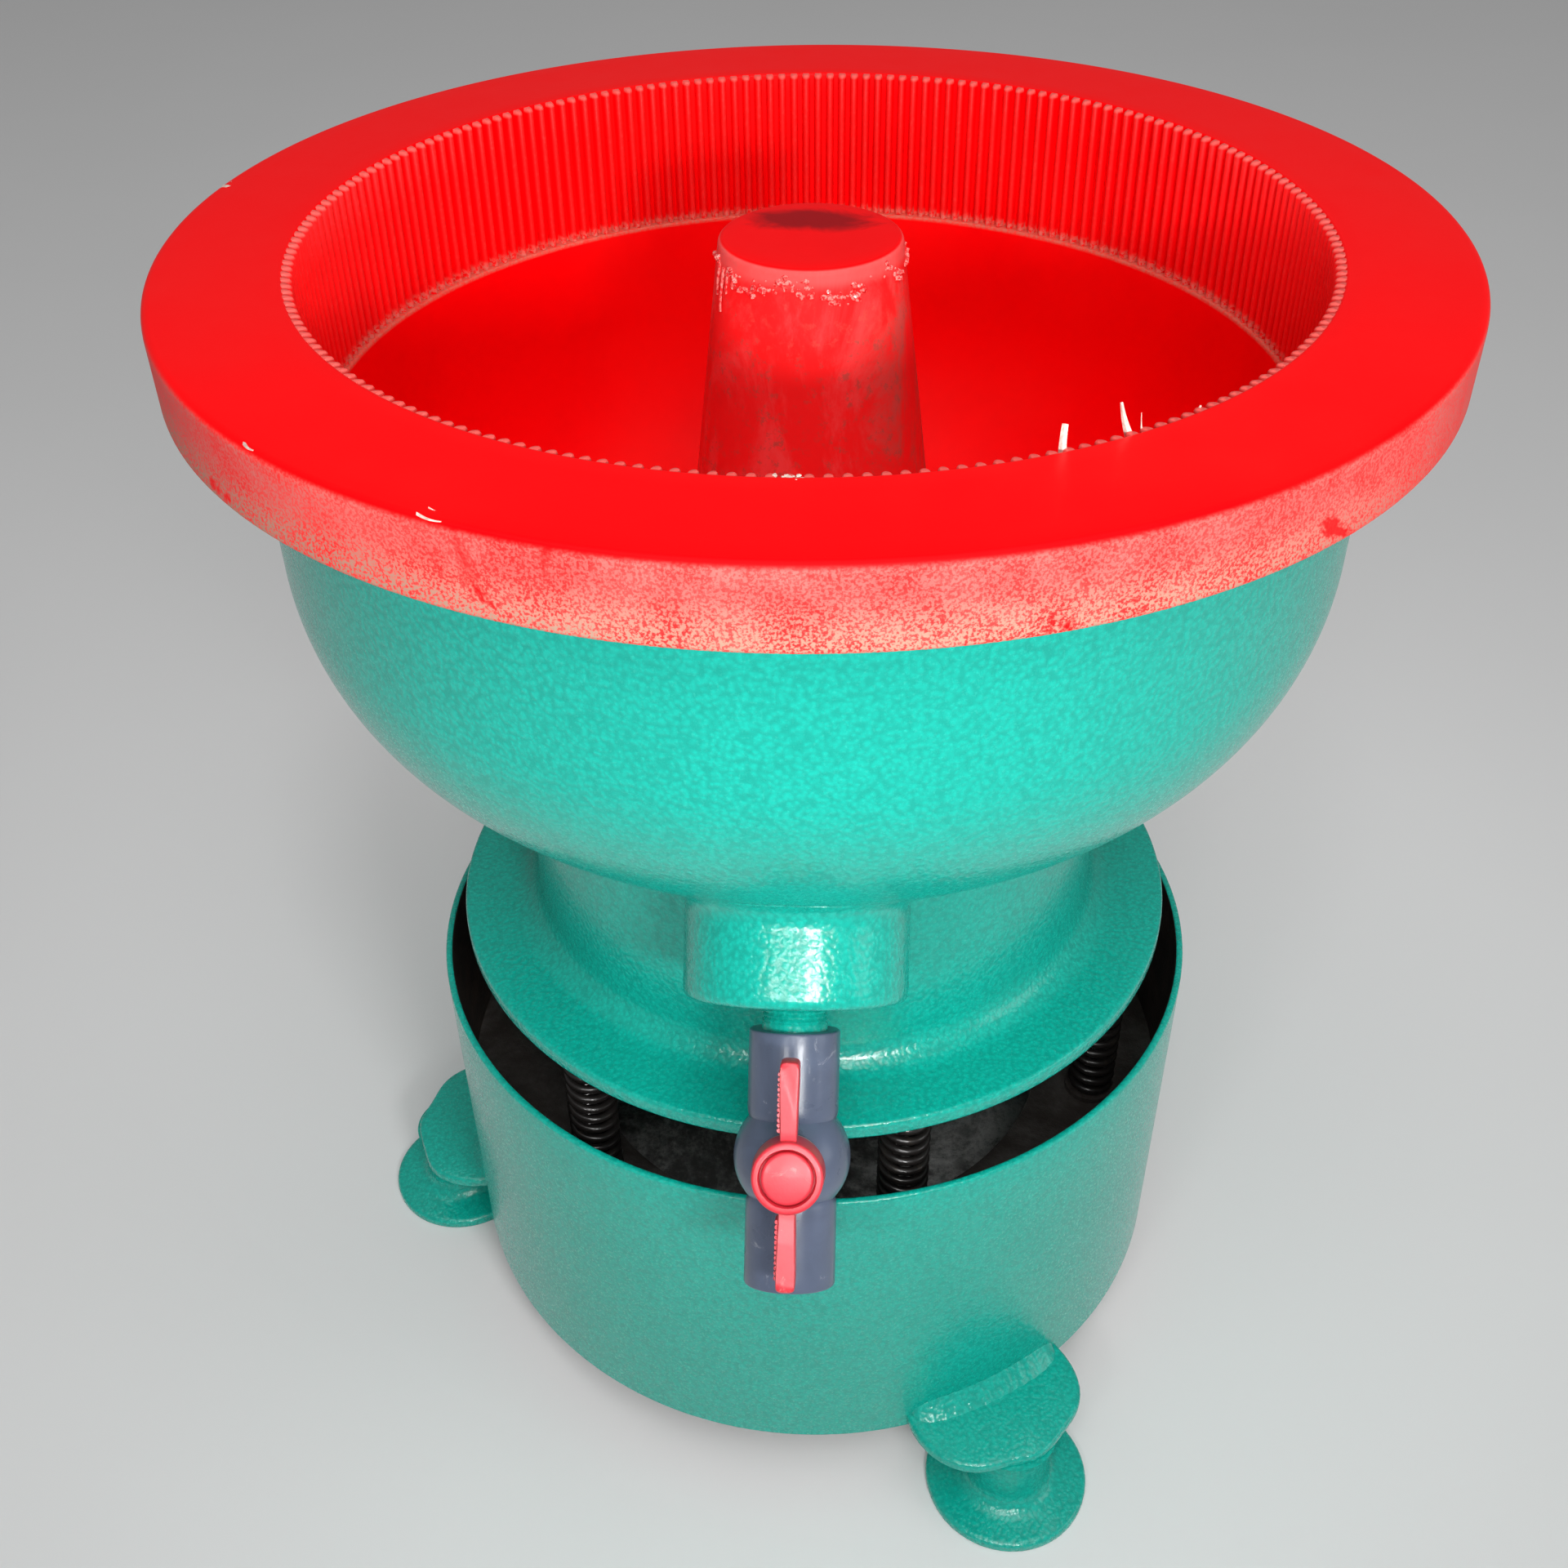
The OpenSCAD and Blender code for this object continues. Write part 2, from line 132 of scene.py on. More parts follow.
class TumblerSizes(bpy.types.PropertyGroup):
    """Sizes that change without touching the frame."""

    ribs: bpy.props.IntProperty(
        name="Ribs", description="Number of ribs round the lining's upper wall",
        default=217, min=60, max=300)
    rib_depth: bpy.props.FloatProperty(
        name="Rib depth", description="How far a rib stands out of the lining",
        default=4.0 * MM, unit="LENGTH")
    rib_width: bpy.props.FloatProperty(
        name="Rib width", description="Width of a rib at its root", default=3.8 * MM, unit="LENGTH")
    springs: bpy.props.IntProperty(
        name="Springs", description="Number of coil springs under the flange", default=6, min=3, max=12)
    spring_turns: bpy.props.FloatProperty(
        name="Spring turns", description="Turns in one coil spring", default=15.5, min=4)
    coil_radius: bpy.props.FloatProperty(
        name="Coil radius", description="Mean radius of a coil", default=10.0 * MM, unit="LENGTH")
    wire_radius: bpy.props.FloatProperty(
        name="Wire radius", description="Radius of the spring wire", default=2.0 * MM, unit="LENGTH")
    seed: bpy.props.IntProperty(name="Seed", description="Seed of the scattered wear", default=7)


class TumblerColours(bpy.types.PropertyGroup):
    """Base colours of the finishes."""

    enamel: bpy.props.FloatVectorProperty(
        name="Enamel", description="Hammered enamel on the castings and the drum", subtype="COLOR",
        size=3, default=(0.003, 0.40, 0.315), min=0, max=1)
    lining: bpy.props.FloatVectorProperty(
        name="Lining", description="Cast polyurethane of the bowl's lining", subtype="COLOR",
        size=3, default=(0.98, 0.0, 0.002), min=0, max=1)
    valve: bpy.props.FloatVectorProperty(
        name="Valve", description="Moulded plastic of the drain valve", subtype="COLOR",
        size=3, default=(0.10, 0.125, 0.19), min=0, max=1)
    handle: bpy.props.FloatVectorProperty(
        name="Handle", description="Moulded plastic of the valve's handle", subtype="COLOR",
        size=3, default=(0.72, 0.03, 0.05), min=0, max=1)


def sizes():
    return bpy.context.scene.tumbler_sizes


def colours():
    return bpy.context.scene.tumbler_colours


# ---------------------------------------------------------------- shader expressions


class Field:
    """A socket in a node tree that takes part in Python expressions."""

    def __init__(self, finish, socket):
        self.finish = finish
        self.socket = socket

    def _math(self, operation, *values):
        inputs = dict(enumerate(values))
        return self.finish.add("ShaderNodeMath", {"operation": operation}, inputs)

    def __add__(self, other):
        return self._math("ADD", self, other)

    __radd__ = __add__

    def __sub__(self, other):
        return self._math("SUBTRACT", self, other)

    def __rsub__(self, other):
        return self._math("SUBTRACT", other, self)

    def __mul__(self, other):
        return self._math("MULTIPLY", self, other)

    __rmul__ = __mul__

    def sine(self):
        return self._math("SINE", self)

    def size(self):
        return self._math("ABSOLUTE", self)

    def root(self):
        return self._math("SQRT", self)

    def rise(self, low, high):
        """0 below low, 1 above high, smooth between."""
        inputs = {"Value": self, "From Min": low, "From Max": high}
        settings = {"interpolation_type": "SMOOTHSTEP"}
        return self.finish.add("ShaderNodeMapRange", settings, inputs)


class Finish:
    """A material made of nodes, with one Principled shader."""

    def __init__(self, name):
        self.material = bpy.data.materials.new(name)
        self.material.use_nodes = True
        self.tree = self.material.node_tree
        self.tree.nodes.clear()
        self.shader = self.tree.nodes.new("ShaderNodeBsdfPrincipled")
        output = self.tree.nodes.new("ShaderNodeOutputMaterial")
        self.tree.links.new(self.shader.outputs[0], output.inputs["Surface"])
        self.place = self.add("ShaderNodeTexCoord", out="Object")
        split = self.add("ShaderNodeSeparateXYZ", inputs={0: self.place}).socket.node
        self.x, self.y, self.z = (Field(self, split.outputs[i]) for i in range(3))

    def add(self, kind, settings=None, inputs=None, out=0):
        """Adds one node: its settings first, then the values or links of its sockets."""
        node = self.tree.nodes.new(kind)
        for key, value in (settings or {}).items():
            if key == "stops":
                ramp = node.color_ramp
                while len(ramp.elements) < len(value):
                    ramp.elements.new(0.5)
                for element, (position, colour) in zip(ramp.elements, value):
                    element.position = position
                    element.color = (*colour, 1)
            else:
                setattr(node, key, value)
        for key, value in (inputs or {}).items():
            self._feed(node.inputs[key], value)
        return Field(self, node.outputs[out])

    def _feed(self, socket, value):
        if isinstance(value, Field):
            self.tree.links.new(value.socket, socket)
        elif hasattr(socket.default_value, "__len__") and len(socket.default_value) == 4:
            socket.default_value = (*tuple(value)[:3], 1)
        else:
            socket.default_value = value

    def radius(self):
        """Distance from the machine's axis."""
        return (self.x * self.x + self.y * self.y).root()

    def noise(self, scale, detail=3.0, rough=0.55, warp=0.0, where=None):
        inputs = {"Vector": where or self.place, "Scale": scale, "Detail": detail,
                  "Roughness": rough, "Distortion": warp}
        return self.add("ShaderNodeTexNoise", inputs=inputs)

    def cells(self, scale, feature="SMOOTH_F1", where=None):
        inputs = {"Vector": where or self.place, "Scale": scale}
        return self.add("ShaderNodeTexVoronoi", {"feature": feature}, inputs)

    def stretched(self, scale):
        """The object's coordinates, scaled differently along each axis."""
        return self.add("ShaderNodeMapping", inputs={"Vector": self.place, "Scale": scale})

    def mix(self, share, a, b):
        """Colour a at share 0 and colour b at share 1."""
        return self.add("ShaderNodeMix", {"data_type": "RGBA"}, {0: share, 6: a, 7: b}, out=2)

    def ramp(self, share, stops):
        return self.add("ShaderNodeValToRGB", {"stops": stops}, {0: share})

    def bump(self, height, strength, distance):
        inputs = {"Height": height, "Strength": strength, "Distance": distance}
        return self.add("ShaderNodeBump", inputs=inputs)

    def done(self, **values):
        """Feeds the Principled shader: base_color, roughness and so on."""
        names = {"base_color": "Base Color", "roughness": "Roughness", "metallic": "Metallic",
                 "normal": "Normal", "coat_weight": "Coat Weight", "coat_roughness": "Coat Roughness",
                 "specular": "Specular IOR Level"}
        for key, value in values.items():
            self._feed(self.shader.inputs[names[key]], value)
        return self.material


# ---------------------------------------------------------------- finishes


def shade(colour, factor):
    return tuple(min(1.0, c * factor) for c in colour)


def hammered_enamel(name, colour, inside_radius=None):
    """Glossy enamel that draws up into small round dimples."""
    f = Finish(name)
    warp = f.add("ShaderNodeVectorMath", {"operation": "MULTIPLY_ADD"},
                 {0: f.add("ShaderNodeTexNoise", inputs={"Vector": f.place, "Scale": 260.0}, out="Color"),
                  1: (0.0016, 0.0016, 0.0016), 2: f.place})
    dimple = f.cells(520.0, where=warp)
    speck = f.noise(900.0, 2.0)
    cloud = f.noise(14.0, 3.0)
    drawn = dimple.rise(0.05, 0.75)
    light = f.mix(drawn, shade(colour, 1.14), shade(colour, 0.80))
    tone = f.mix(cloud.rise(0.3, 0.7) * 0.25, light, shade(colour, 0.78))
    tone = f.mix(speck.rise(0.60, 0.8) * 0.30, tone, tuple(min(1, c * 1.25 + 0.06) for c in colour))
    height = speck * 0.25 - drawn * 0.8
    gloss = 0.18 + speck * 0.16
    if inside_radius is not None:
        # inside the drum's wall the enamel gives way to a mottled near-black brown
        inner_dark = f.mix(f.noise(60.0, 5.0).rise(0.35, 0.7), (0.010, 0.006, 0.004), (0.035, 0.020, 0.014))
        outside = f.radius().rise(inside_radius, inside_radius + 0.4 * MM)
        tone = f.mix(outside, inner_dark, tone)
        gloss = outside * gloss + (1 - outside) * 0.6
    return f.done(base_color=tone, roughness=gloss, metallic=0.0, coat_weight=0.15, coat_roughness=0.1,
                  specular=0.5, normal=f.bump(height, 0.42, 0.5 * MM))


def cast_lining(name, colour):
    """Poured red polyurethane: glossy on top, rubbed pale on the rim's outer band, stained on the hub."""
    f = Finish(name)
    r = f.radius()
    top = (RIM_TOP - 0.6) * MM
    fine = f.noise(700.0, 4.0, 0.7)
    mottle = f.noise(45.0, 6.0, 0.65)
    patch = f.noise(16.0, 4.0, 0.6, 0.4)
    pale = (0.68, 0.17, 0.15)
    dust = (0.36, 0.29, 0.21)
    # the rim's outer band is rubbed pale, more so in patches, with dust along its lower edge
    band = r.rise((RIM_R - 1.8) * MM, (RIM_R - 0.4) * MM) * (1 - f.z.rise(top - 2.2 * MM, top))
    speckle = f.noise(1000.0, 2.0, 0.6).rise(0.40, 0.60)
    rub = band * (mottle.rise(0.35, 0.7) * 0.30 + speckle * 0.45 + 0.16)
    kept = f.noise(24.0, 5.0, 0.7, 0.6).rise(0.60, 0.68)
    low = 1 - f.z.rise((RIM_TOP - BAND_H) * MM, (RIM_TOP - BAND_H + 21) * MM)
    front_left = (0.0 - f.y - f.x * 0.55).rise(-0.02, 0.16)
    dusty = band * low * front_left * (speckle * 0.5 + mottle * 0.6).rise(0.25, 0.80)
    # painted shade: inside the ribs' circle the lining is darkened a little all over, more in patches
    wall = 1 - r.rise(RIB_ROOT_R * MM - 0.0004, RIB_ROOT_R * MM + 0.0002)
    tone = f.mix(wall * (0.04 + patch.rise(0.4, 0.75) * 0.12), colour, shade(colour, 0.55))
    tone = f.mix(f.noise(9.0, 3.0).rise(0.45, 0.75) * (1 - band) * 0.10, tone, (0.85, 0.03, 0.02))
    tone = f.mix(rub * (1 - kept * 0.85), tone, pale)
    tone = f.mix(dusty * (1 - kept) * 0.85, tone, dust)
    # grit that lies on the ledge under the ribs
    level = 1 - (f.z - RIB_LOW * MM).size().rise(0.6 * MM, 2.2 * MM)
    ledge = level * r.rise(0.193, 0.1945) * (1 - r.rise(0.2005, 0.202))
    tone = f.mix(ledge * (0.35 + fine.rise(0.4, 0.6) * 0.45), tone, (0.62, 0.20, 0.14))
    # the hub: dark stain in the middle of its top, grey-brown rubbing on its sides
    hub = 1 - r.rise(62 * MM, 64 * MM)
    hub_face = hub * f.z.rise((HUB_TOP - 0.8) * MM, (HUB_TOP - 0.2) * MM)
    stain_noise = f.noise(42.0, 5.0, 0.62, 0.8)
    behind = f.y - 0.016
    stain_reach = (f.x * f.x * 0.45 + behind * behind * 2.2).root() + (stain_noise - 0.5) * 0.030
    spot = 1 - stain_reach.rise(0.008, 0.021)
    tone = f.mix(hub_face * (0.04 + spot * 0.80), tone, (0.20, 0.003, 0.006))
    aside, back = f.x + 0.010, f.y - 0.020
    core = 1 - (aside * aside * 0.5 + back * back * 2.5).root().rise(0.004, 0.016)
    tone = f.mix(hub_face * core * stain_noise.rise(0.42, 0.6) * 0.45, tone, (0.06, 0.012, 0.014))
    side = hub * (1 - hub_face)
    scuff = f.noise(30.0, 7.0, 0.72, 0.5, where=f.stretched((1, 1, 0.45)))
    below = 1 - f.z.rise((HUB_TOP - 30) * MM, (HUB_TOP - 8) * MM)
    tone = f.mix(side * (0.10 + scuff.rise(0.46, 0.66) * 0.34), tone, (0.90, 0.13, 0.13))
    grit = f.noise(240.0, 5.0, 0.75).rise(0.52, 0.64) * scuff.rise(0.36, 0.60)
    tone = f.mix(side * grit * (0.25 + below * 0.35), tone, (0.34, 0.08, 0.06))
    right = f.x.rise(0.012, 0.05)
    tone = f.mix(side * below * right * scuff.rise(0.40, 0.62) * 0.75, tone, (0.20, 0.10, 0.075))
    collar = side * f.z.rise((HUB_TOP - 9) * MM, (HUB_TOP - 4) * MM)
    tone = f.mix(collar * 0.45, tone, (0.78, 0.16, 0.15))
    rough = 0.34 + mottle * 0.10 + rub * 0.35 + side * 0.06 + wall * 0.04
    height = fine * (0.12 + band * 0.9) + mottle * (0.15 + side * 0.8 + band * 0.3)
    return f.done(base_color=tone, roughness=rough, specular=0.07, normal=f.bump(height, 0.30, 0.6 * MM))


def rib_lining(name, colour):
    """The same polyurethane on the ribs, a little rubbed on their crests and dusty at their lower ends."""
    f = Finish(name)
    r = f.radius()
    fine = f.noise(600.0, 4.0, 0.7)
    patch = f.noise(24.0, 5.0, 0.6, 0.5, where=f.stretched((1, 1, 0.5)))
    crest = 1 - r.rise((RIB_ROOT_R - 4.0) * MM, (RIB_ROOT_R - 2.2) * MM)
    # painted shade: the ribs are darkened all over like the rest of the bowl's inside, more in patches
    tone = f.mix(0.12 + patch.rise(0.4, 0.7) * 0.2, colour, shade(colour, 0.5))
    tone = f.mix(crest * (0.10 + fine.rise(0.5, 0.7) * 0.16), tone, (0.80, 0.13, 0.11))
    top = f.z.rise((RIM_TOP - 2.2) * MM, (RIM_TOP - 0.8) * MM)
    tone = f.mix(top * (0.35 + fine * 0.4), tone, (0.82, 0.20, 0.17))
    foot = 1 - f.z.rise((RIB_LOW + 1) * MM, (RIB_LOW + 5) * MM)
    tone = f.mix(foot * fine.rise(0.40, 0.56) * 0.7, tone, (0.66, 0.26, 0.20))
    return f.done(base_color=tone, roughness=0.40 + fine * 0.12, specular=0.16,
                  normal=f.bump(fine + patch, 0.22, 0.4 * MM))


def glossy_skin(name):
    """Bubbles and drips that burst while the lining was poured: pinkish and shiny."""
    f = Finish(name)
    fine = f.noise(700.0, 3.0, 0.6)
    tone = f.mix(fine.rise(0.40, 0.62), (0.72, 0.015, 0.02), (0.86, 0.28, 0.25))
    return f.done(base_color=tone, roughness=0.16 + fine * 0.1, specular=0.6,
                  normal=f.bump(fine, 0.3, 0.3 * MM))


def raw_flash(name):
    """Thin torn slivers and chips of lining, bleached and dusty; their near-white colour is partly a painted
    highlight on the torn edges.
    """
    f = Finish(name)
    fine = f.noise(500.0, 4.0, 0.7)
    tone = f.ramp(fine, [(0.3, (0.55, 0.30, 0.25)), (0.55, (0.72, 0.60, 0.52)), (0.8, (0.86, 0.82, 0.76))])
    return f.done(base_color=tone, roughness=0.45 + fine * 0.2, normal=f.bump(fine, 0.4, 0.4 * MM))


def moulded_plastic(name, colour, sheen=0.34, scuffed=(0.75, 0.75, 0.78), scuff=0.25):
    """Satin moulded plastic with faint flow marks and light scuffs."""
    f = Finish(name)
    fine = f.noise(1200.0, 3.0, 0.6)
    flow = f.noise(45.0, 5.0, 0.6, 0.6)
    marks = f.noise(90.0, 8.0, 0.75, 1.2, where=f.stretched((1, 0.35, 1)))
    tone = f.mix(flow.rise(0.35, 0.7) * 0.5, shade(colour, 0.82), shade(colour, 1.18))
    tone = f.mix(marks.rise(0.60, 0.70) * scuff, tone, scuffed)
    return f.done(base_color=tone, roughness=sheen + flow * 0.14 + marks.rise(0.55, 0.7) * 0.2,
                  coat_weight=0.06, normal=f.bump(fine + flow * 1.5, 0.14, 0.3 * MM))


def coated_wire(name):
    """Black coated spring wire with rubbed, shinier spots."""
    f = Finish(name)
    fine = f.noise(900.0, 3.0)
    worn = f.noise(120.0, 5.0, 0.7).rise(0.56, 0.7)
    tone = f.mix(worn * 0.6, (0.016, 0.014, 0.013), (0.09, 0.075, 0.06))
    return f.done(base_color=tone, roughness=0.24 + fine * 0.16, metallic=0.25 + worn * 0.5, coat_weight=0.3,
                  normal=f.bump(fine, 0.15, 0.2 * MM))


def rough_casting(name, colour=(0.055, 0.053, 0.052)):
    """Sand-cast iron with a grainy skin, dull oxide and settled dust."""
    f = Finish(name)
    grain = f.noise(420.0, 6.0, 0.75)
    pits = f.cells(210.0)
    dust = f.noise(18.0, 5.0, 0.6).rise(0.42, 0.68)
    rust = f.noise(34.0, 6.0, 0.7, 0.8).rise(0.60, 0.72)
    tone = f.mix(grain.rise(0.35, 0.7), shade(colour, 0.6), shade(colour, 1.6))
    tone = f.mix(dust * 0.35, tone, (0.17, 0.155, 0.135))
    tone = f.mix(rust * 0.4, tone, (0.14, 0.055, 0.022))
    return f.done(base_color=tone, roughness=0.62 + grain * 0.2, metallic=0.25,
                  normal=f.bump(grain + pits * 0.7, 0.5, 0.8 * MM))


def dusty_paint(name, base=(0.020, 0.016, 0.014), dust=(0.13, 0.125, 0.115), amount=0.8):
    """Black paint under a layer of stone dust, thicker in patches and broken by splashes. On the bottom plate
    paint and dust are given much paler, as painted light.
    """
    f = Finish(name)
    patch = f.noise(16.0, 7.0, 0.72, 0.7)
    grain = f.noise(260.0, 5.0, 0.75)
    splash = f.cells(46.0, "F1").rise(0.10, 0.32)
    cover = (patch * 0.8 + grain * 0.35).rise(0.48, 0.72) * amount
    tone = f.mix(cover * (0.45 + splash * 0.55), base, dust)
    tone = f.mix(grain.rise(0.66, 0.76) * 0.5 * amount, tone, (0.30, 0.29, 0.27))
    return f.done(base_color=tone, roughness=0.55 + cover * 0.35,
                  normal=f.bump(grain * 0.7 + patch * 1.6, 0.6, 1.5 * MM))


def turned_steel(name):
    """Machined steel with fine turning lines round the axis and light oil stains."""
    f = Finish(name)
    lines = (f.radius() * 9000.0 + f.z * 5000.0).sine() * 0.5 + 0.5
    haze = f.noise(70.0, 5.0, 0.65)
    tone = f.mix(haze.rise(0.4, 0.7), (0.50, 0.50, 0.51), (0.36, 0.35, 0.33))
    return f.done(base_color=tone, roughness=0.24 + haze * 0.18, metallic=1.0,
                  normal=f.bump(lines * 0.5 + haze, 0.15, 0.1 * MM))


def stacked_sheets(name):
    """A stack of thin punched steel sheets seen on edge, varnished."""
    f = Finish(name)
    sheets = (f.z * 9000.0).sine() * 0.5 + 0.5
    haze = f.noise(60.0, 5.0)
    tone = f.mix(sheets * 0.5, (0.10, 0.10, 0.11), (0.30, 0.29, 0.28))
    tone = f.mix(haze.rise(0.5, 0.75) * 0.4, tone, (0.12, 0.07, 0.03))
    return f.done(base_color=tone, roughness=0.38 + haze * 0.2, metallic=0.8,
                  normal=f.bump(sheets, 0.3, 0.2 * MM))


def wound_copper(name):
    """Varnished copper windings, wound round the axis."""
    f = Finish(name)
    strands = (f.radius() * 4200.0).sine() * 0.5 + 0.5
    haze = f.noise(90.0, 5.0)
    tone = f.mix(strands, (0.22, 0.06, 0.02), (0.72, 0.27, 0.10))
    return f.done(base_color=tone, roughness=0.30 + haze * 0.2, metallic=0.7,
                  normal=f.bump(strands, 0.5, 0.5 * MM))


def pale_seal(name):
    """Off-white sealing plastic, slightly waxy."""
    f = Finish(name)
    haze = f.noise(160.0, 5.0)
    tone = f.mix(haze.rise(0.45, 0.75) * 0.6, (0.80, 0.79, 0.74), (0.55, 0.50, 0.44))
    return f.done(base_color=tone, roughness=0.38 + haze * 0.15, normal=f.bump(haze, 0.1, 0.2 * MM))


def black_rubber(name):
    """Oiled nitrile rubber."""
    f = Finish(name)
    haze = f.noise(220.0, 5.0)
    tone = f.mix(haze, (0.012, 0.012, 0.012), (0.035, 0.034, 0.033))
    return f.done(base_color=tone, roughness=0.45 + haze * 0.2, normal=f.bump(haze, 0.15, 0.2 * MM))


def studio_floor(name):
    """Plain pale floor."""
    f = Finish(name)
    haze = f.noise(2.0, 3.0)
    tone = f.mix(haze, (0.76, 0.76, 0.76), (0.80, 0.80, 0.80))
    return f.done(base_color=tone, roughness=0.75)


MADE = {}


def finish(name):
    """The named finish, made once."""
    if name not in MADE:
        c = colours()
        makers = {
            "enamel": lambda: hammered_enamel("hammered_enamel", c.enamel),
            "drum_enamel": lambda: hammered_enamel("drum_enamel", c.enamel, (DRUM_R - 3.3) * MM),
            "lining": lambda: cast_lining("cast_lining", c.lining),
            "rib_lining": lambda: rib_lining("rib_lining", c.lining),
            "flash": lambda: raw_flash("raw_flash"),
            "skin": lambda: glossy_skin("glossy_skin"),
            "valve_plastic": lambda: moulded_plastic("valve_plastic", c.valve, 0.22),
            "handle_plastic": lambda: moulded_plastic(
                "handle_plastic", c.handle, 0.28, (0.95, 0.55, 0.52), 0.45),
            "wire": lambda: coated_wire("coated_wire"),
            "casting": lambda: rough_casting("rough_casting"),
            "paint": lambda: dusty_paint("black_paint", (0.03, 0.022, 0.018), (0.16, 0.15, 0.14), 0.4),
            # bottom plate: its paint and dust given far paler than they are, as painted light deep inside the
            # drum
            "dusty_plate": lambda: dusty_paint("dusty_plate", (0.17, 0.16, 0.155), (0.88, 0.87, 0.85), 1.0),
            "steel": lambda: turned_steel("turned_steel"),
            "sheets": lambda: stacked_sheets("stacked_sheets"),
            "copper": lambda: wound_copper("wound_copper"),
            "seal": lambda: pale_seal("pale_seal"),
            "rubber": lambda: black_rubber("black_rubber"),
            "black_plastic": lambda: moulded_plastic("black_plastic", (0.02, 0.02, 0.021), 0.42),
        }
        MADE[name] = makers[name]()
    return MADE[name]


# ---------------------------------------------------------------- mesh helpers


class Section:
    """The outline of a turned part in millimetres, as (radius, height) points."""

    def __init__(self, r, z):
        self.points = [(r, z)]

    def to(self, r, z, steps=1):
        r0, z0 = self.points[-1]
        for i in range(1, steps + 1):
            t = i / steps
            self.points.append((r0 + (r - r0) * t, z0 + (z - z0) * t))
        return self

    def arc(self, cx, cz, radius, start, end, steps=8):
        """Round a centre from one angle to another, in degrees."""
        for i in range(steps + 1):
            a = math.radians(start + (end - start) * i / steps)
            point = (cx + radius * math.cos(a), cz + radius * math.sin(a))
            if math.dist(point, self.points[-1]) > 1e-4:
                self.points.append(point)
        return self

    def bend(self, corner, end, steps=6):
        """A smooth curve to end that leaves and arrives along lines through corner."""
        r0, z0 = self.points[-1]
        for i in range(1, steps + 1):
            t = i / steps
            a, b, c = (1 - t) ** 2, 2 * t * (1 - t), t * t
            self.points.append((a * r0 + b * corner[0] + c * end[0], a * z0 + b * corner[1] + c * end[1]))
        return self


def mesh_piece(name, points, faces, material, sharp=32.0):
    """A closed mesh from points in millimetres, with its normals outwards."""
    mesh = bpy.data.meshes.new(name)
    mesh.from_pydata([tuple(c * MM for c in p) for p in points], [], faces)
    mesh.materials.append(material)
    bm = bmesh.new()
    bm.from_mesh(mesh)
    bmesh.ops.remove_doubles(bm, verts=bm.verts, dist=1e-7)
    bmesh.ops.recalc_face_normals(bm, faces=bm.faces)
    bm.to_mesh(mesh)
    bm.free()
    piece = bpy.data.objects.new(name, mesh)
    bpy.context.scene.collection.objects.link(piece)
    smooth(piece, sharp)
    return piece


def smooth(piece, sharp=32.0):
    piece.data.polygons.foreach_set("use_smooth", [True] * len(piece.data.polygons))
    piece.data.set_sharp_from_angle(angle=math.radians(sharp))


def turned(section, segments=128, place=None):
    """Points and faces of an outline turned round the vertical axis. Ends on the axis become poles,
    and an outline off the axis is closed on itself. place maps a point to its final position."""
    outline = section.points if isinstance(section, Section) else section
    closed = outline[0][0] > 1e-6
    points, rows = [], []
    for r, z in outline:
        if r < 1e-6:
            rows.append([len(points)] * segments)
            points.append((0.0, 0.0, z))
            continue
        rows.append(list(range(len(points), len(points) + segments)))
        for i in range(segments):
            a = TURN * i / segments
            points.append((r * math.cos(a), r * math.sin(a), z))
    faces = []
    pairs = list(zip(rows, rows[1:])) + ([(rows[-1], rows[0])] if closed else [])
    for low, high in pairs:
        for i in range(segments):
            j = (i + 1) % segments
            ring = [low[i], low[j], high[j], high[i]]
            face = [v for k, v in enumerate(ring) if v != ring[k - 1]]
            if len(face) > 2:
                faces.append(face)
    if place is not None:
        points = [place(Vector(p)) for p in points]
    return points, faces


def joined(*parts):
    """Points and faces of several closed shells in one list."""
    points, faces = [], []
    for more_points, more_faces in parts:
        start = len(points)
        points += list(more_points)
        faces += [[v + start for v in f] for f in more_faces]
    return points, faces


def bridged(ring, rows):
    """Faces between rows of points, each row a closed ring."""
    return [[k * ring + i, k * ring + (i + 1) % ring, (k + 1) * ring + (i + 1) % ring, (k + 1) * ring + i]
            for k in range(rows - 1) for i in range(ring)]


def capped(ring, rows):
    """The same with the first and the last ring closed."""
    last = (rows - 1) * ring
    return bridged(ring, rows) + [list(range(ring)), [last + i for i in reversed(range(ring))]]


def carve(piece, cutter, operation="DIFFERENCE"):
    """Applies a boolean and removes the cutter."""
    modifier = piece.modifiers.new("carve", "BOOLEAN")
    modifier.operation = operation
    modifier.solver = "EXACT"
    modifier.object = cutter
    bpy.context.view_layer.update()
    graph = bpy.context.evaluated_depsgraph_get()
    mesh = bpy.data.meshes.new_from_object(piece.evaluated_get(graph))
    piece.modifiers.remove(modifier)
    piece.data = mesh
    bpy.data.objects.remove(cutter)
    return piece


def finished(piece, body, slot, *nodes):
    """Names the body that a piece rides on and hides the solids that it stands for; slot is not used."""
    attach(piece, body)
    if nodes:
        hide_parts(*nodes)
    return piece


def on_drain(p):
    """Local (x, y, z) to the frame: z outwards along the drain axis, y towards the valve's stem."""
    return BOSS_FACE + Vector((1, 0, 0)) * p[0] + AXIS_STEM * p[1] + AXIS_OUT * p[2]


def on_valve(p):
    return on_drain((p[0], p[1], p[2] + VALVE_MIDDLE))


def on_stem(p):
    """A part turned round the valve's stem: its z is the stem's direction."""
    return on_valve((p[0], p[2], -p[1]))


# ---------------------------------------------------------------- geometry node trees


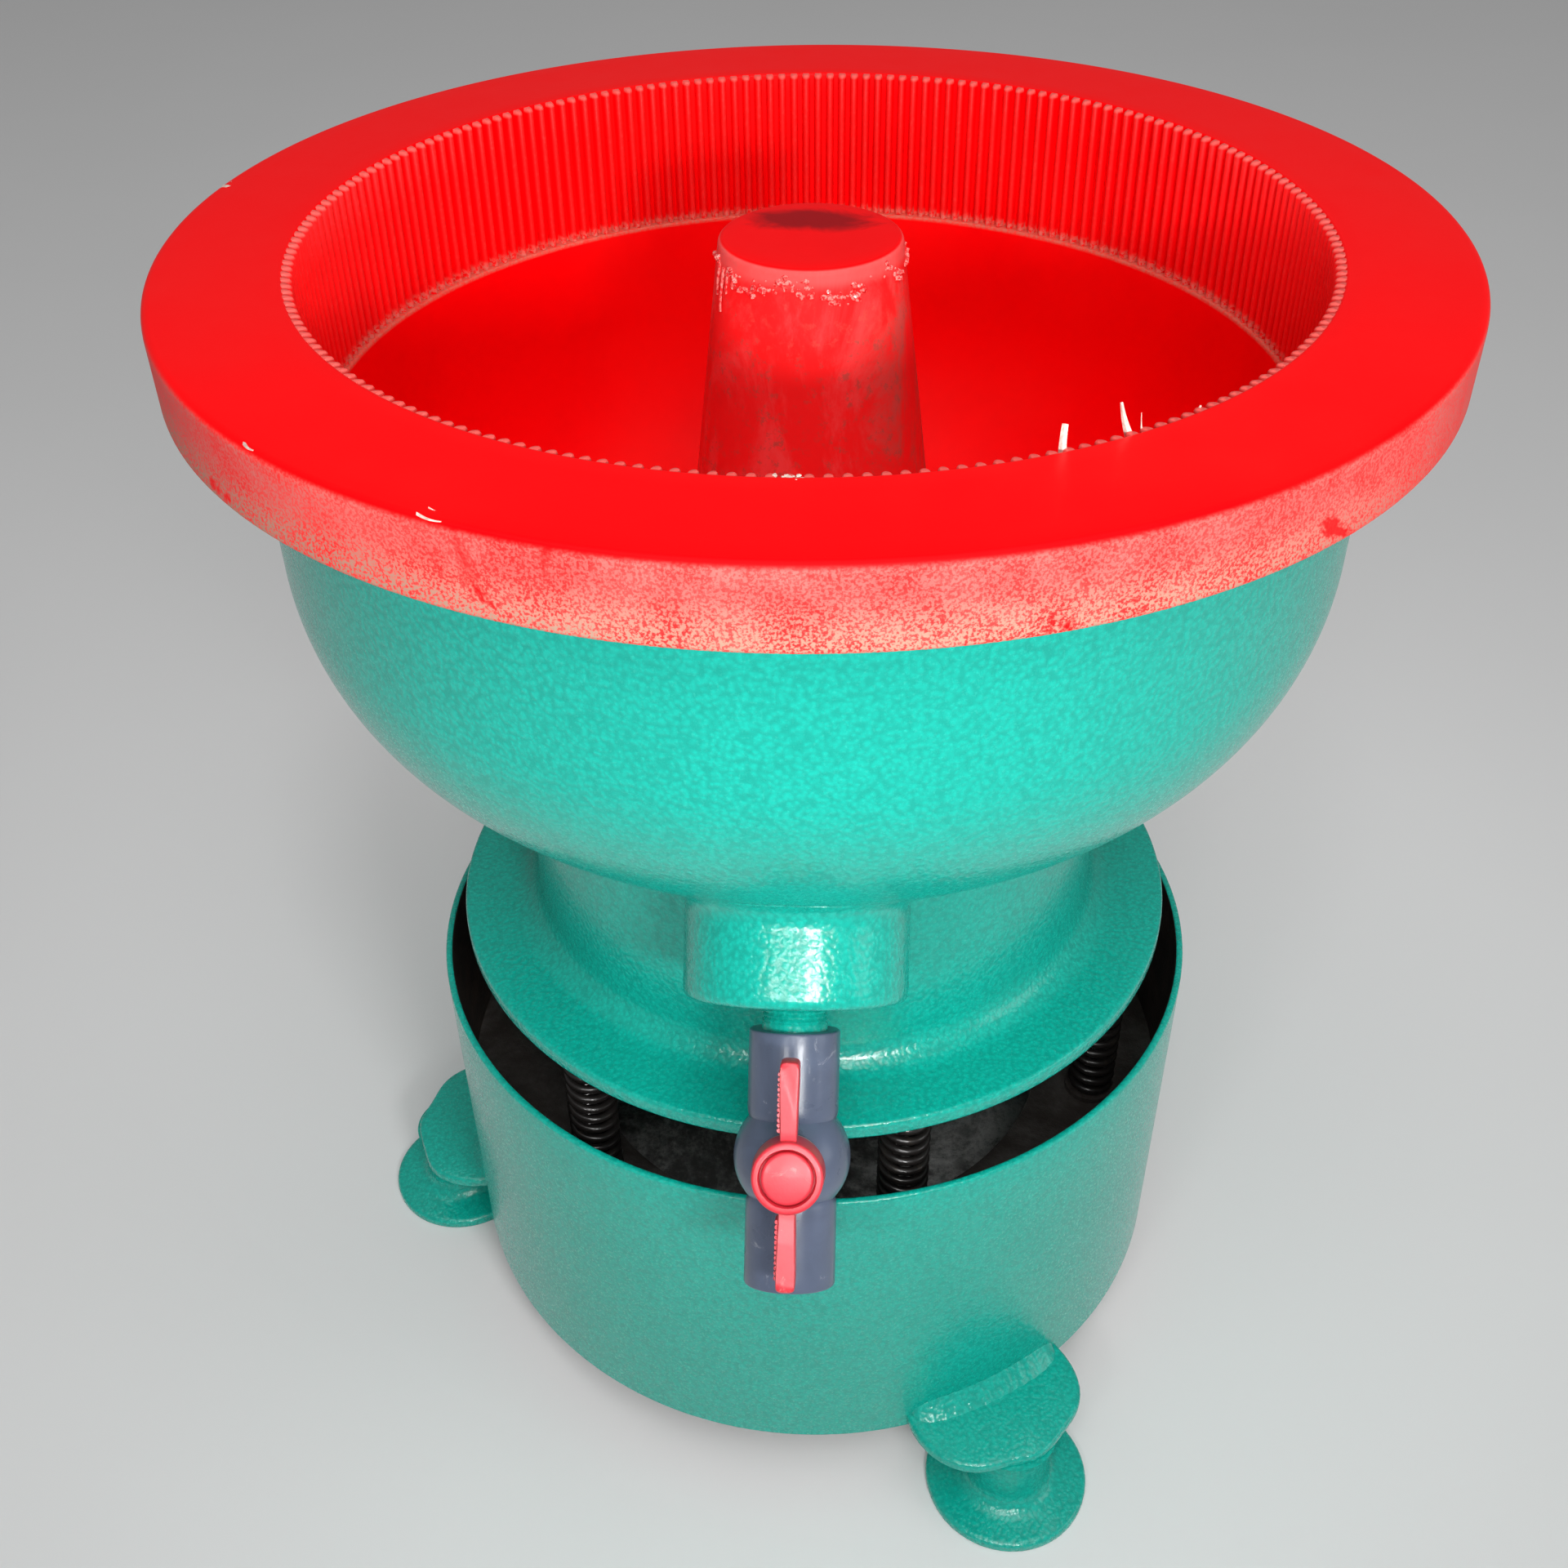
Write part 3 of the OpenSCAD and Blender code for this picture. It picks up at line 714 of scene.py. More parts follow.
class Tree:
    """A geometry node tree with named inputs."""

    def __init__(self, name, inputs):
        self.group = bpy.data.node_groups.new(name, "GeometryNodeTree")
        face = self.group.interface
        face.new_socket(name="Geometry", in_out="INPUT", socket_type="NodeSocketGeometry")
        for label, kind in inputs:
            face.new_socket(name=label, in_out="INPUT", socket_type=kind)
        face.new_socket(name="Geometry", in_out="OUTPUT", socket_type="NodeSocketGeometry")
        self.source = self.group.nodes.new("NodeGroupInput")
        self.sink = self.group.nodes.new("NodeGroupOutput")

    def add(self, kind, settings=None, inputs=None, out=0):
        node = self.group.nodes.new(kind)
        for key, value in (settings or {}).items():
            setattr(node, key, value)
        for key, value in (inputs or {}).items():
            if isinstance(value, bpy.types.NodeSocket):
                self.group.links.new(value, node.inputs[key])
            else:
                node.inputs[key].default_value = value
        return node.outputs[out]

    def given(self, label):
        return self.source.outputs[label]

    def ring(self, shape):
        """Copies of a shape at equal angles round the vertical axis, joined and given the material."""
        count = self.given("Count")
        circle = self.add("GeometryNodeMeshCircle", inputs={"Vertices": count, "Radius": 0.0})
        index = self.add("GeometryNodeInputIndex")
        step = self.add("ShaderNodeMath", {"operation": "DIVIDE"}, {0: TURN, 1: count})
        turn = self.add("ShaderNodeMath", {"operation": "MULTIPLY_ADD"},
                        {0: index, 1: step, 2: self.given("Start")})
        rotation = self.add("ShaderNodeCombineXYZ", inputs={"Z": turn})
        copies = self.add("GeometryNodeInstanceOnPoints",
                          inputs={"Points": circle, "Instance": shape, "Rotation": rotation})
        real = self.add("GeometryNodeRealizeInstances", inputs={"Geometry": copies})
        painted = self.add("GeometryNodeSetMaterial",
                           inputs={"Geometry": real, "Material": self.given("Material")})
        self.group.links.new(painted, self.sink.inputs["Geometry"])
        return self.group


def ring_tree():
    """Repeats the base mesh round the machine's axis."""
    tree = Tree("ring_of_parts", [("Count", "NodeSocketInt"), ("Start", "NodeSocketFloat"),
                                  ("Material", "NodeSocketMaterial")])
    return tree.ring(tree.given("Geometry"))


def spring_tree():
    """Coil springs on a circle, each a helix of round wire with closed ends."""
    tree = Tree("ring_of_springs", [
        ("Count", "NodeSocketInt"), ("Start", "NodeSocketFloat"), ("Material", "NodeSocketMaterial"),
        ("Turns", "NodeSocketFloat"), ("Coil Radius", "NodeSocketFloat"),
        ("Wire Radius", "NodeSocketFloat"), ("Height", "NodeSocketFloat"),
        ("Circle Radius", "NodeSocketFloat"), ("Foot Height", "NodeSocketFloat")])
    wire = tree.given("Wire Radius")
    span = tree.add("ShaderNodeMath", {"operation": "MULTIPLY_ADD"},
                    {0: wire, 1: -2.0, 2: tree.given("Height")})
    helix = tree.add("GeometryNodeCurveSpiral", inputs={
        "Resolution": 28, "Rotations": tree.given("Turns"), "Start Radius": tree.given("Coil Radius"),
        "End Radius": tree.given("Coil Radius"), "Height": span})
    section = tree.add("GeometryNodeCurvePrimitiveCircle", inputs={"Resolution": 10, "Radius": wire})
    tube = tree.add("GeometryNodeCurveToMesh",
                    inputs={"Curve": helix, "Profile Curve": section, "Fill Caps": True})
    lift = tree.add("ShaderNodeMath", {"operation": "ADD"}, {0: tree.given("Foot Height"), 1: wire})
    offset = tree.add("ShaderNodeCombineXYZ", inputs={"X": tree.given("Circle Radius"), "Z": lift})
    placed = tree.add("GeometryNodeTransform", inputs={"Geometry": tube, "Translation": offset})
    return tree.ring(placed)


def grown(name, tree, values, base=None):
    """Runs a tree on a base mesh and returns the result as a plain mesh object."""
    mesh = base.data if base is not None else bpy.data.meshes.new(name + "_seed")
    seed = bpy.data.objects.new(name + "_seed", mesh)
    bpy.context.scene.collection.objects.link(seed)
    modifier = seed.modifiers.new("grow", "NODES")
    modifier.node_group = tree
    for item in tree.interface.items_tree:
        if item.in_out == "INPUT" and item.name in values:
            modifier[item.identifier] = values[item.name]
    bpy.context.view_layer.update()
    graph = bpy.context.evaluated_depsgraph_get()
    result = bpy.data.meshes.new_from_object(seed.evaluated_get(graph))
    result.name = name
    bpy.data.objects.remove(seed)
    if base is not None:
        bpy.data.objects.remove(base)
    piece = bpy.data.objects.new(name, result)
    bpy.context.scene.collection.objects.link(piece)
    smooth(piece, 40.0)
    return piece


# ---------------------------------------------------------------- bowl


def hub_radius(z):
    return HUB_TOP_R + (HUB_TOP - z) * HUB_SLOPE


def liner_section():
    s = Section(0, HUB_TOP)
    s.to(HUB_TOP_R - 2.2, HUB_TOP, 5)
    s.bend((HUB_TOP_R, HUB_TOP), (hub_radius(HUB_TOP - 2.5), HUB_TOP - 2.5), 5)
    floor = CURVE_Z - CHANNEL_R
    foot = hub_radius(floor + 22)
    s.to(foot, floor + 22, 14)
    s.bend((hub_radius(floor + 2), floor + 2), (CURVE_X - 30, floor + 5.8), 8)
    s.arc(CURVE_X, CURVE_Z, CHANNEL_R, -112, 0, 30)
    s.to(CURVE_X + CHANNEL_R, RIB_LOW - 1, 3)
    s.bend((CURVE_X + CHANNEL_R, RIB_LOW), (CURVE_X + CHANNEL_R + 1, RIB_LOW), 3)
    s.to(RIB_ROOT_R, RIB_LOW)
    s.to(RIB_ROOT_R, RIM_TOP - 1.2, 8)
    s.bend((RIB_ROOT_R, RIM_TOP), (RIB_ROOT_R + 1.2, RIM_TOP), 4)
    s.to(RIM_R - 3.5, RIM_TOP, 6)
    s.bend((RIM_R, RIM_TOP), (RIM_R, RIM_TOP - 3.5), 7)
    s.to(RIM_R, RIM_TOP - BAND_H + 1.6, 6)
    s.bend((RIM_R, RIM_TOP - BAND_H), (RIM_R - 1.6, RIM_TOP - BAND_H), 4)
    s.to(BOWL_R + 0.02, RIM_TOP - BAND_H, 3)
    s.to(BOWL_R + 0.02, LIP_TOP - 10).to(LIP_R, LIP_TOP - 10).to(LIP_R, LIP_TOP)
    s.to(BOWL_R - WALL, LIP_TOP).to(BOWL_R - WALL, CURVE_Z, 2)
    s.arc(CURVE_X, CURVE_Z, CURVE_R - WALL, 0, -90, 20)
    s.to(hub_radius(CURVE_Z - CURVE_R + WALL) - 9, CURVE_Z - CURVE_R + WALL)
    s.to(HUB_TOP_R - 8, HUB_TOP - 10).to(0, HUB_TOP - 10)
    return s


def make_liner():
    """The poured lining, with the recess of the drain strainer cut into the channel."""
    liner = mesh_piece("bowl_lining", *turned(liner_section(), 256), finish("lining"), 40.0)
    plug = Section(0, -92).to(16.2, -92).to(16.2, -40).to(0, -40)
    recess = mesh_piece("recess", *turned(plug, 48, on_drain), finish("lining"))
    carve(liner, recess)
    smooth(liner, 40.0)
    finished(liner, "bowl", "red_polyurethane", "bowl_liner")


def rib_shape():
    """One rib at +X: a half-round bar with a rounded top, its back sunk in the wall."""
    s = sizes()
    half, depth = s.rib_width / MM / 2, s.rib_depth / MM
    steps = 8
    rows = [(RIB_LOW + 0.1, 1.0), (RIM_TOP - 20, 1.0), (RIM_TOP - 1.6, 1.0),
            (RIM_TOP - 0.75, 0.86), (RIM_TOP - 0.25, 0.55)]
    points = []
    for z, share in rows:
        for i in range(steps + 1):
            a = math.pi * i / steps
            reach = depth * math.sin(a) ** 0.8 * share
            points.append((RIB_ROOT_R + 0.4 - reach, half * math.cos(a) * (0.4 + 0.6 * share), z))
        points.append((RIB_ROOT_R + 1.5, 0, z))
    return mesh_piece("rib", points, capped(steps + 2, len(rows)), finish("rib_lining"))


def make_ribs():
    s = sizes()
    values = {"Count": s.ribs, "Start": 0.0, "Material": finish("rib_lining")}
    finished(grown("lining_ribs", ring_tree(), values, rib_shape()), "bowl", "red_polyurethane")


def sliver(base, lean, length, width, thick=0.5, taper=0.8):
    """A thin tapering blade that stands on base and leans over, in millimetres."""
    base, lean = Vector(base), Vector(lean).normalized()
    side = lean.cross(Vector((0.3, 0.8, 0.2))).normalized()
    flat = lean.cross(side)
    points = []
    rows = 6
    for k in range(rows):
        t = k / (rows - 1)
        middle = base + lean * length * t + flat * (math.sin(t * 2.4) * length * 0.12)
        w = width * (1 - (1 - taper) * t) / 2
        h = thick * (1 - 0.5 * t) / 2
        points += [middle + side * w, middle + flat * h, middle - side * w, middle - flat * h]
    return points, capped(4, rows)


def pebble(rng, middle, size, flat=0.5):
    """A small uneven lump with its centre at middle."""
    bm = bmesh.new()
    bmesh.ops.create_icosphere(bm, subdivisions=1, radius=1.0)
    stretch = Vector((rng.uniform(0.7, 1.4), rng.uniform(0.7, 1.4), flat))
    points = [Vector(middle) + Vector((v.co.x * stretch.x, v.co.y * stretch.y, v.co.z * stretch.z))
              * size * rng.uniform(0.8, 1.15) for v in bm.verts]
    faces = [[v.index for v in f.verts] for f in bm.faces]
    bm.free()
    return points, faces


def on_rim(turn, r, z):
    a = math.radians(turn)
    return (r * math.cos(a), r * math.sin(a), z)


def torn_slivers(rng):
    """Blades on the inner edge of the rim, crumbs on it in front, and chips along the outer edge."""
    blades = [(-65.0, 8, 2.8, 0.03, 0.7), (-57.6, 10, 3.6, -0.30, 0.25), (-56.4, 5, 1.0, -0.1, 0.2),
              (-50.0, 1.5, 2.0, 0.3, 0.3)]
    parts = []
    for turn, length, width, lean, taper in blades:
        root = on_rim(turn, RIB_ROOT_R - 2.5, RIM_TOP - 5)
        parts.append(sliver(root, (lean, 0.15, 1.0), length + 4, width, 1.2, taper))
    for _ in range(26):
        turn, r = -89.8 + rng.gauss(0, 0.75), RIB_ROOT_R + 0.3 + rng.uniform(-1.6, 2.2)
        parts.append(pebble(rng, on_rim(turn, r, RIM_TOP - 0.5), rng.uniform(0.5, 1.3), 0.45))
    # nicks along the rim's outer edge: their pale colour is partly a painted highlight
    for turn, r, length in [(-114.9, RIM_R - 2.2, 9), (-114.6, RIM_R - 6.2, 4), (-132.4, RIM_R - 1.8, 6)]:
        along = (-math.sin(math.radians(turn)), math.cos(math.radians(turn)), 0.03)
        parts.append(sliver(on_rim(turn, r, RIM_TOP - 0.3), along, length, 1.6, 1.2, 0.2))
    return parts


def burst_bubbles(rng):
    """A wavy row of beads round the hub's collar, with a few drips at the left."""
    beads = []
    for _ in range(120):
        turn = rng.gauss(-88, 52)
        z = HUB_TOP - 8.0 + 2.2 * math.sin(turn / 9) + rng.gauss(0, 1.5)
        beads.append(pebble(rng, on_rim(turn, hub_radius(z), z), rng.uniform(0.4, 1.7), 0.9))
    z = HUB_TOP - 6.5
    for turn, length in [(-152, 17), (-147, 9), (-159, 12), (-141, 6)]:
        down = on_rim(turn, 0.10, -1.0)
        beads.append(sliver(on_rim(turn, hub_radius(z) + 0.1, z), down, length, 1.5, 1.5, 0.6))
    return beads


def torn_crumbs(rng):
    """Crumbs where the rim's left edge is torn."""
    crumbs = []
    for _ in range(16):
        turn, r = 171 + rng.uniform(-2.6, 2.6), RIM_R - 3.2 - rng.uniform(0, 1.6)
        z = RIM_TOP - rng.uniform(0.6, 3)
        crumbs.append(pebble(rng, on_rim(turn, r, z), rng.uniform(1.0, 2.4), 0.5))
    return crumbs


def make_flash():
    rng = random.Random(sizes().seed)
    for name, job, coat in (("lining_flash", torn_slivers, "flash"), ("hub_bubbles", burst_bubbles, "skin"),
                            ("torn_edge", torn_crumbs, "flash")):
        finished(mesh_piece(name, *joined(*job(rng)), finish(coat)), "bowl", "red_polyurethane")


def casting_section():
    floor = CURVE_Z - CURVE_R
    web = FLANGE_LOW + 14
    s = Section(0, floor + WALL)
    s.to(CURVE_X, floor + WALL, 3)
    s.arc(CURVE_X, CURVE_Z, CURVE_R - WALL, -90, 0, 20)
    s.to(BOWL_R - WALL, LIP_TOP).to(LIP_R, LIP_TOP).to(LIP_R, LIP_TOP - 10)
    s.to(BOWL_R, LIP_TOP - 10).to(BOWL_R, CURVE_Z, 6)
    s.arc(CURVE_X, CURVE_Z, CURVE_R, 0, -72, 40)
    s.bend((NECK_R + 1.5, floor + 1.2), (NECK_R + 0.8, floor - 16), 10)
    s.to(NECK_BASE_R, FLANGE_LOW + FLANGE_H + 14, 8)
    s.arc(NECK_BASE_R + 14, FLANGE_LOW + FLANGE_H + 14, 14, 180, 270, 12)
    s.to(FLANGE_R - 2.2, FLANGE_LOW + FLANGE_H, 4)
    s.bend((FLANGE_R, FLANGE_LOW + FLANGE_H), (FLANGE_R, FLANGE_LOW + FLANGE_H - 2.4), 5)
    s.to(FLANGE_R, FLANGE_LOW + 1.2)
    s.bend((FLANGE_R, FLANGE_LOW), (FLANGE_R - 1.2, FLANGE_LOW), 3)
    s.to(75, FLANGE_LOW, 6).to(75, web, 2).to(NECK_BASE_R - 8, web, 2)
    s.to(NECK_R - 8, floor, 4).to(0, floor, 3)
    return s


def casting_depth(p):
    """Signed distance in millimetres from the casting's outer face, negative inside."""
    r, z = math.hypot(p[0], p[1]), p[2]
    if z >= CURVE_Z:
        bowl = r - BOWL_R
    elif r > CURVE_X:
        bowl = math.hypot(r - CURVE_X, z - CURVE_Z) - CURVE_R
    else:
        bowl = CURVE_Z - CURVE_R - z
    share = (z - FLANGE_LOW) / (CURVE_Z - CURVE_R - FLANGE_LOW)
    neck = r - (NECK_BASE_R + (NECK_R - NECK_BASE_R) * share)
    return min(bowl, neck)


def boss_shell(fillet=9.0, sunk=-3.5, segments=96, rows=30):
    """The drain boss: a round stub that flares where it runs into the bowl and the neck."""
    face = [(0.0, 0.0), (30.0, 0.0), (BOSS_R - 3.6, 0.0), (BOSS_R - 1.5, -0.5), (BOSS_R - 0.35, -1.8)]
    points = [on_drain((0, 0, 0))]
    loops = []
    for r, z in face[1:]:
        loops.append(range(len(points), len(points) + segments))
        points += [on_drain((r * math.cos(TURN * i / segments), r * math.sin(TURN * i / segments), z))
                   for i in range(segments)]
    ends = []
    for i in range(segments):
        a = TURN * i / segments
        depth = -4.0
        x, y = BOSS_R * math.cos(a), BOSS_R * math.sin(a)
        while depth > -70 and casting_depth(on_drain((x, y, depth))) > sunk:
            depth -= 0.5
        ends.append(depth)
    ends = np.array(ends)
    for k in range(rows):
        loops.append(range(len(points), len(points) + segments))
        for i in range(segments):
            a = TURN * i / segments
            z = -4.0 + (ends[i] + 4.0) * (k / (rows - 1)) ** 0.8
            clear = casting_depth(on_drain((BOSS_R * math.cos(a), BOSS_R * math.sin(a), z)))
            near = min(1.0, max(0.0, (fillet - clear) / fillet))
            r = BOSS_R + fillet * (1 - math.sqrt(1 - near * near)) * 0.9
            points.append(on_drain((r * math.cos(a), r * math.sin(a), z)))
    last = len(points)
    points.append(on_drain((0, 0, float(ends.mean()) - 2.0)))
    faces = [[0, loops[0][i], loops[0][(i + 1) % segments]] for i in range(segments)]
    for low, high in zip(loops, loops[1:]):
        for i in range(segments):
            j = (i + 1) % segments
            faces.append([low[i], low[j], high[j], high[i]])
    faces += [[last, loops[-1][(i + 1) % segments], loops[-1][i]] for i in range(segments)]
    return points, faces


def make_casting():
    """The enamelled casting with its drain boss."""
    casting = mesh_piece("bowl_shell", *joined(turned(casting_section(), 256), boss_shell()),
                         finish("enamel"), 40.0)
    finished(casting, "bowl", "hammertone", "bowl_casting")


# ---------------------------------------------------------------- drain valve


def make_nipple():
    """The pipe stub between boss and valve, with the last threads in sight."""
    s = Section(10, -20).to(12.9, -20).to(12.9, 0.6)
    for k in range(5):
        s.to(12.3, 1.6 + k * 1.8).to(13.0, 2.5 + k * 1.8)
    s.to(13.0, 30).to(10, 30)
    nipple = mesh_piece("drain_pipe_stub", *turned(s, 64, on_drain), finish("enamel"), 60.0)
    finished(nipple, "bowl", "hammertone", "drain_nipple")


def make_valve():
    """The moulded valve: two collars, a round middle and the stem's housing, hollow along its length."""
    end, bulge = 18.0, 23.1
    start = math.degrees(math.asin(15.5 / bulge))
    s = Section(12.6, VALVE_HALF).to(end - 1.0, VALVE_HALF)
    s.bend((end, VALVE_HALF), (end, VALVE_HALF - 1.0), 3)
    s.to(end, 19.5, 5).bend((end, 16.8), (bulge * math.cos(math.radians(start)), 15.5), 4)
    s.arc(0, 0, bulge, start, -start, 18)
    s.bend((end, -16.8), (end, -19.5), 4).to(end, 1.0 - VALVE_HALF, 5)
    s.bend((end, -VALVE_HALF), (end - 1.0, -VALVE_HALF), 3)
    s.to(13.03, -VALVE_HALF).to(13.03, -31).to(9.5, -31).to(9.5, -14).to(11.5, -14)
    cavity = 15.0
    mouth = math.degrees(math.acos(11.5 / cavity))
    s.arc(0, 0, cavity, -mouth, mouth, 14).to(11.5, 14).to(9.5, 14).to(9.5, 28).to(12.6, 28)
    body = mesh_piece("drain_valve", *turned(s, 96, on_valve), finish("valve_plastic"), 35.0)
    housing = Section(0, 16.5).to(12.5, 16.5).to(12.5, 26).bend((12.5, 27), (11.5, 27), 3).to(0, 27)
    carve(body, mesh_piece("housing", *turned(housing, 48, on_stem), finish("valve_plastic")), "UNION")
    carve(body, mesh_piece("bore", *turned(Section(0, 8).to(4.03, 8).to(4.03, 40).to(0, 40), 32, on_stem),
                           finish("valve_plastic")))
    smooth(body, 35.0)
    finished(body, "bowl", "blue_grey_upvc", "valve_body")


def wing(reach, low, high, side):
    """One wing of the handle: a rounded blade, slightly waisted beside the hub."""
    steps = 14
    half, tip = 3.7, 3.0
    outline = [(-half + 0.6, 9.0), (-half + 0.4, 16.0), (-half, reach - 7.0)]
    for k in range(steps + 1):
        a = math.pi * k / steps
        across, along = math.cos(a), math.sin(a)
        width = half * math.copysign(abs(across) ** 0.6, across)
        outline.append((-width, reach - tip + tip * along ** 0.6))
    outline += [(half, reach - 7.0), (half - 0.4, 16.0), (half - 0.6, 9.0)]
    levels = [(low, 0.0), (low + 0.6, 0.0), (high - 1.4, 0.0), (high - 0.4, 0.5), (high, 1.3)]
    middle = Vector((0, reach * 0.55))
    points = []
    for z, inset in levels:
        for x, y in outline:
            drop = 2.4 * (1 - y / reach) ** 2
            away = Vector((x, y)) - middle
            shrunk = middle + away * (1 - inset / max(half + 1, away.length))
            points.append((shrunk.x, side * shrunk.y, z - (drop if z > low + 1 else 0)))
    return [on_stem(p) for p in points], capped(len(outline), len(levels))


def make_handle():
    """The two-winged handle with grip teeth along one edge of each wing, and the cap in its hub."""
    low, high = 29.3, 43.5
    hub = Section(4.1, low).to(13.6, low).bend((14.0, low), (14.0, low + 0.5), 2)
    hub.to(13.5, high - 1.2, 3).bend((13.4, high), (12.2, high), 4)
    hub.to(11.0, high).to(10.4, high - 1.0).to(10.4, high - 3.2).to(4.1, high - 3.2)
    parts = [turned(hub, 72, on_stem)]
    parts += [wing(43.0, 30.4, 41.5, side) for side in (1, -1)]
    for side in (1, -1):
        for k in range(12):
            tooth = Section(0, 31.4).to(0.85, 31.4).to(0.85, 39.2).to(0, 39.2)
            y = side * (17 + 1.9 * k)
            x = -3.6

            def put(p, x=x, y=y):
                return on_stem((p[0] + x, p[1] + y, p[2]))

            parts.append(turned(tooth, 8, put))
    handle = mesh_piece("valve_lever", *joined(*parts), finish("handle_plastic"), 35.0)
    finished(handle, "handle", "red_handle_plastic", "valve_handle")
    cap = Section(0, high + 0.35).to(8.6, high + 0.2).bend((9.9, high + 0.1), (9.9, high - 1.0), 4)
    cap.to(9.9, high - 3.0).to(0, high - 3.0)
    lid = mesh_piece("lever_cap", *turned(cap, 64, on_stem), finish("handle_plastic"), 35.0)
    finished(lid, "handle", "red_handle_plastic", "handle_cap")


# ---------------------------------------------------------------- springs and base


def make_springs():
    s = sizes()
    values = {
        "Count": s.springs, "Start": FIRST_SPRING, "Material": finish("wire"), "Turns": s.spring_turns,
        "Coil Radius": s.coil_radius, "Wire Radius": s.wire_radius, "Height": (SPRING_HIGH - SPRING_LOW) * MM,
        "Circle Radius": SPRING_CIRCLE * MM, "Foot Height": SPRING_LOW * MM}
    coils = grown("coil_springs", spring_tree(), values)
    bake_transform(coils)
    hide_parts("springs")


def make_drum():
    """The rolled drum with a rounded upper edge and the seam where the sheet is welded."""
    inner = DRUM_R - 3.5
    s = Section(inner, DRUM_LOW).to(DRUM_R - 0.6, DRUM_LOW).to(DRUM_R, DRUM_LOW + 0.6)
    s.to(DRUM_R, DRUM_TOP - 1.4, 8).bend((DRUM_R, DRUM_TOP), (DRUM_R - 1.75, DRUM_TOP), 5)
    s.bend((inner, DRUM_TOP), (inner, DRUM_TOP - 1.4), 5).to(inner, DRUM_LOW + 4.2, 6)
    seam_r, seam = DRUM_R - 1.2, []
    rows = 60
    rng = random.Random(sizes().seed + 1)
    for k in range(rows + 1):
        z = DRUM_LOW + 2 + (DRUM_TOP - DRUM_LOW - 5) * k / rows
        bulge = 1.5 + 0.25 * math.sin(k * 2.1) + rng.uniform(-0.06, 0.06)
        for i in range(7):
            a = math.pi * i / 6
            seam.append((seam_r + bulge * math.sin(a), 2.6 * math.cos(a), z))
    spin = Matrix.Rotation(math.radians(128), 3, "Z")
    bead = ([spin @ Vector(p) for p in seam], capped(7, rows + 1))
    drum = mesh_piece("base_drum", *joined(turned(s, 192), bead), finish("drum_enamel"), 40.0)
    finished(drum, "base", "hammertone", "drum_shell")


def tab_outline(half=13.6, reach=229.0, steps=36):
    """The tab's edge as (turn, radius): a rounded lobe with a soft shoulder on each side."""
    edge = []
    for k in range(steps + 1):
        t = -1 + 2 * k / steps
        t = math.copysign(1 - (1 - abs(t)) ** 1.35, t)
        lobe = (1 - abs(t) ** 6) ** 0.5 * (1 - 0.36 * abs(t) ** 1.6)
        r = DRUM_R - 2 + (reach - DRUM_R + 2) * lobe + 0.9 * math.sin(9 * t + 0.6) * (1 - t * t)
        edge.append((half * t, r))
    return edge


def foot_tab_parts(turn):
    """A tab plate with softened edges and the weld along the drum, turned to its place."""
    levels = [(TAB_LOW, 1.0), (TAB_LOW + 1, 0.0), (TAB_TOP - 1.6, 0.0), (TAB_TOP - 0.5, 0.6), (TAB_TOP, 1.8)]
    outline = tab_outline()
    points = []
    inner = DRUM_R - 1.0
    for z, inset in levels:
        for t, r in outline:
            r = max(inner + 0.5, r - inset)
            points.append(on_rim(t * (1 - inset / 60) + turn, r, z))
        for t, _ in reversed(outline):
            points.append(on_rim(t * (1 - inset / 60) + turn, inner, z))
    count = 2 * len(outline)
    faces = bridged(count, len(levels))
    n = len(outline)
    for base in (0, (len(levels) - 1) * count):
        for i in range(n - 1):
            faces.append([base + i, base + i + 1, base + count - 2 - i, base + count - 1 - i])
    weld = []
    rows, arc_steps = 40, 7
    for k in range(rows + 1):
        t = -1 + 2 * k / rows
        size = 8.5 * (1 - abs(t) ** 6) ** 0.5 + 0.4 + 0.25 * math.sin(k * 1.9)
        where = turn + 13.0 * t
        weld.append(on_rim(where, inner, TAB_TOP - 1))
        for i in range(arc_steps + 1):
            a = math.pi / 2 * i / arc_steps
            out, up = 1 - math.sin(a), 1 - math.cos(a)
            swell = 0.42 * (1 - out - up)
            r, z = DRUM_R - 0.3 + size * (out + swell), TAB_TOP - 0.4 + size * (up + swell)
            weld.append(on_rim(where, r, z))
        weld.append(on_rim(where, inner, TAB_TOP + size))
    return joined((points, faces), (weld, capped(arc_steps + 3, rows + 1)))


def foot_section():
    """The turned foot: a round base with a soft edge, a flare and a column, drilled from below."""
    s = Section(0, 25).to(4.25, 25).to(4.25, 0).to(FOOT_R - 0.8, 0)
    s.bend((FOOT_R, 0), (FOOT_R, 1.2), 3).to(FOOT_R, 3.0).bend((FOOT_R, 5.4), (FOOT_R - 3.5, 5.6), 6)
    s.to(30.5, 6.4, 3).bend((20.6, 7.0), (20.2, 17.0), 10)
    s.to(20.0, TAB_LOW - 4, 3).bend((20.2, TAB_LOW), (23.0, TAB_LOW + 0.3), 4).to(0, TAB_LOW + 0.3)
    return s


def make_feet():
    for name, turn in FOOT_TURNS.items():
        tab = mesh_piece("tab_" + name, *foot_tab_parts(turn), finish("enamel"), 40.0)
        finished(tab, "base", "hammertone", "foot_tab_" + name)
        x, y, _ = on_rim(turn, FOOT_CIRCLE, 0)

        def put(p, x=x, y=y):
            return (p[0] + x, p[1] + y, p[2])

        stand = mesh_piece("stand_" + name, *turned(foot_section(), 72, put), finish("enamel"), 40.0)
        finished(stand, "base", "hammertone", "foot_stand_" + name)


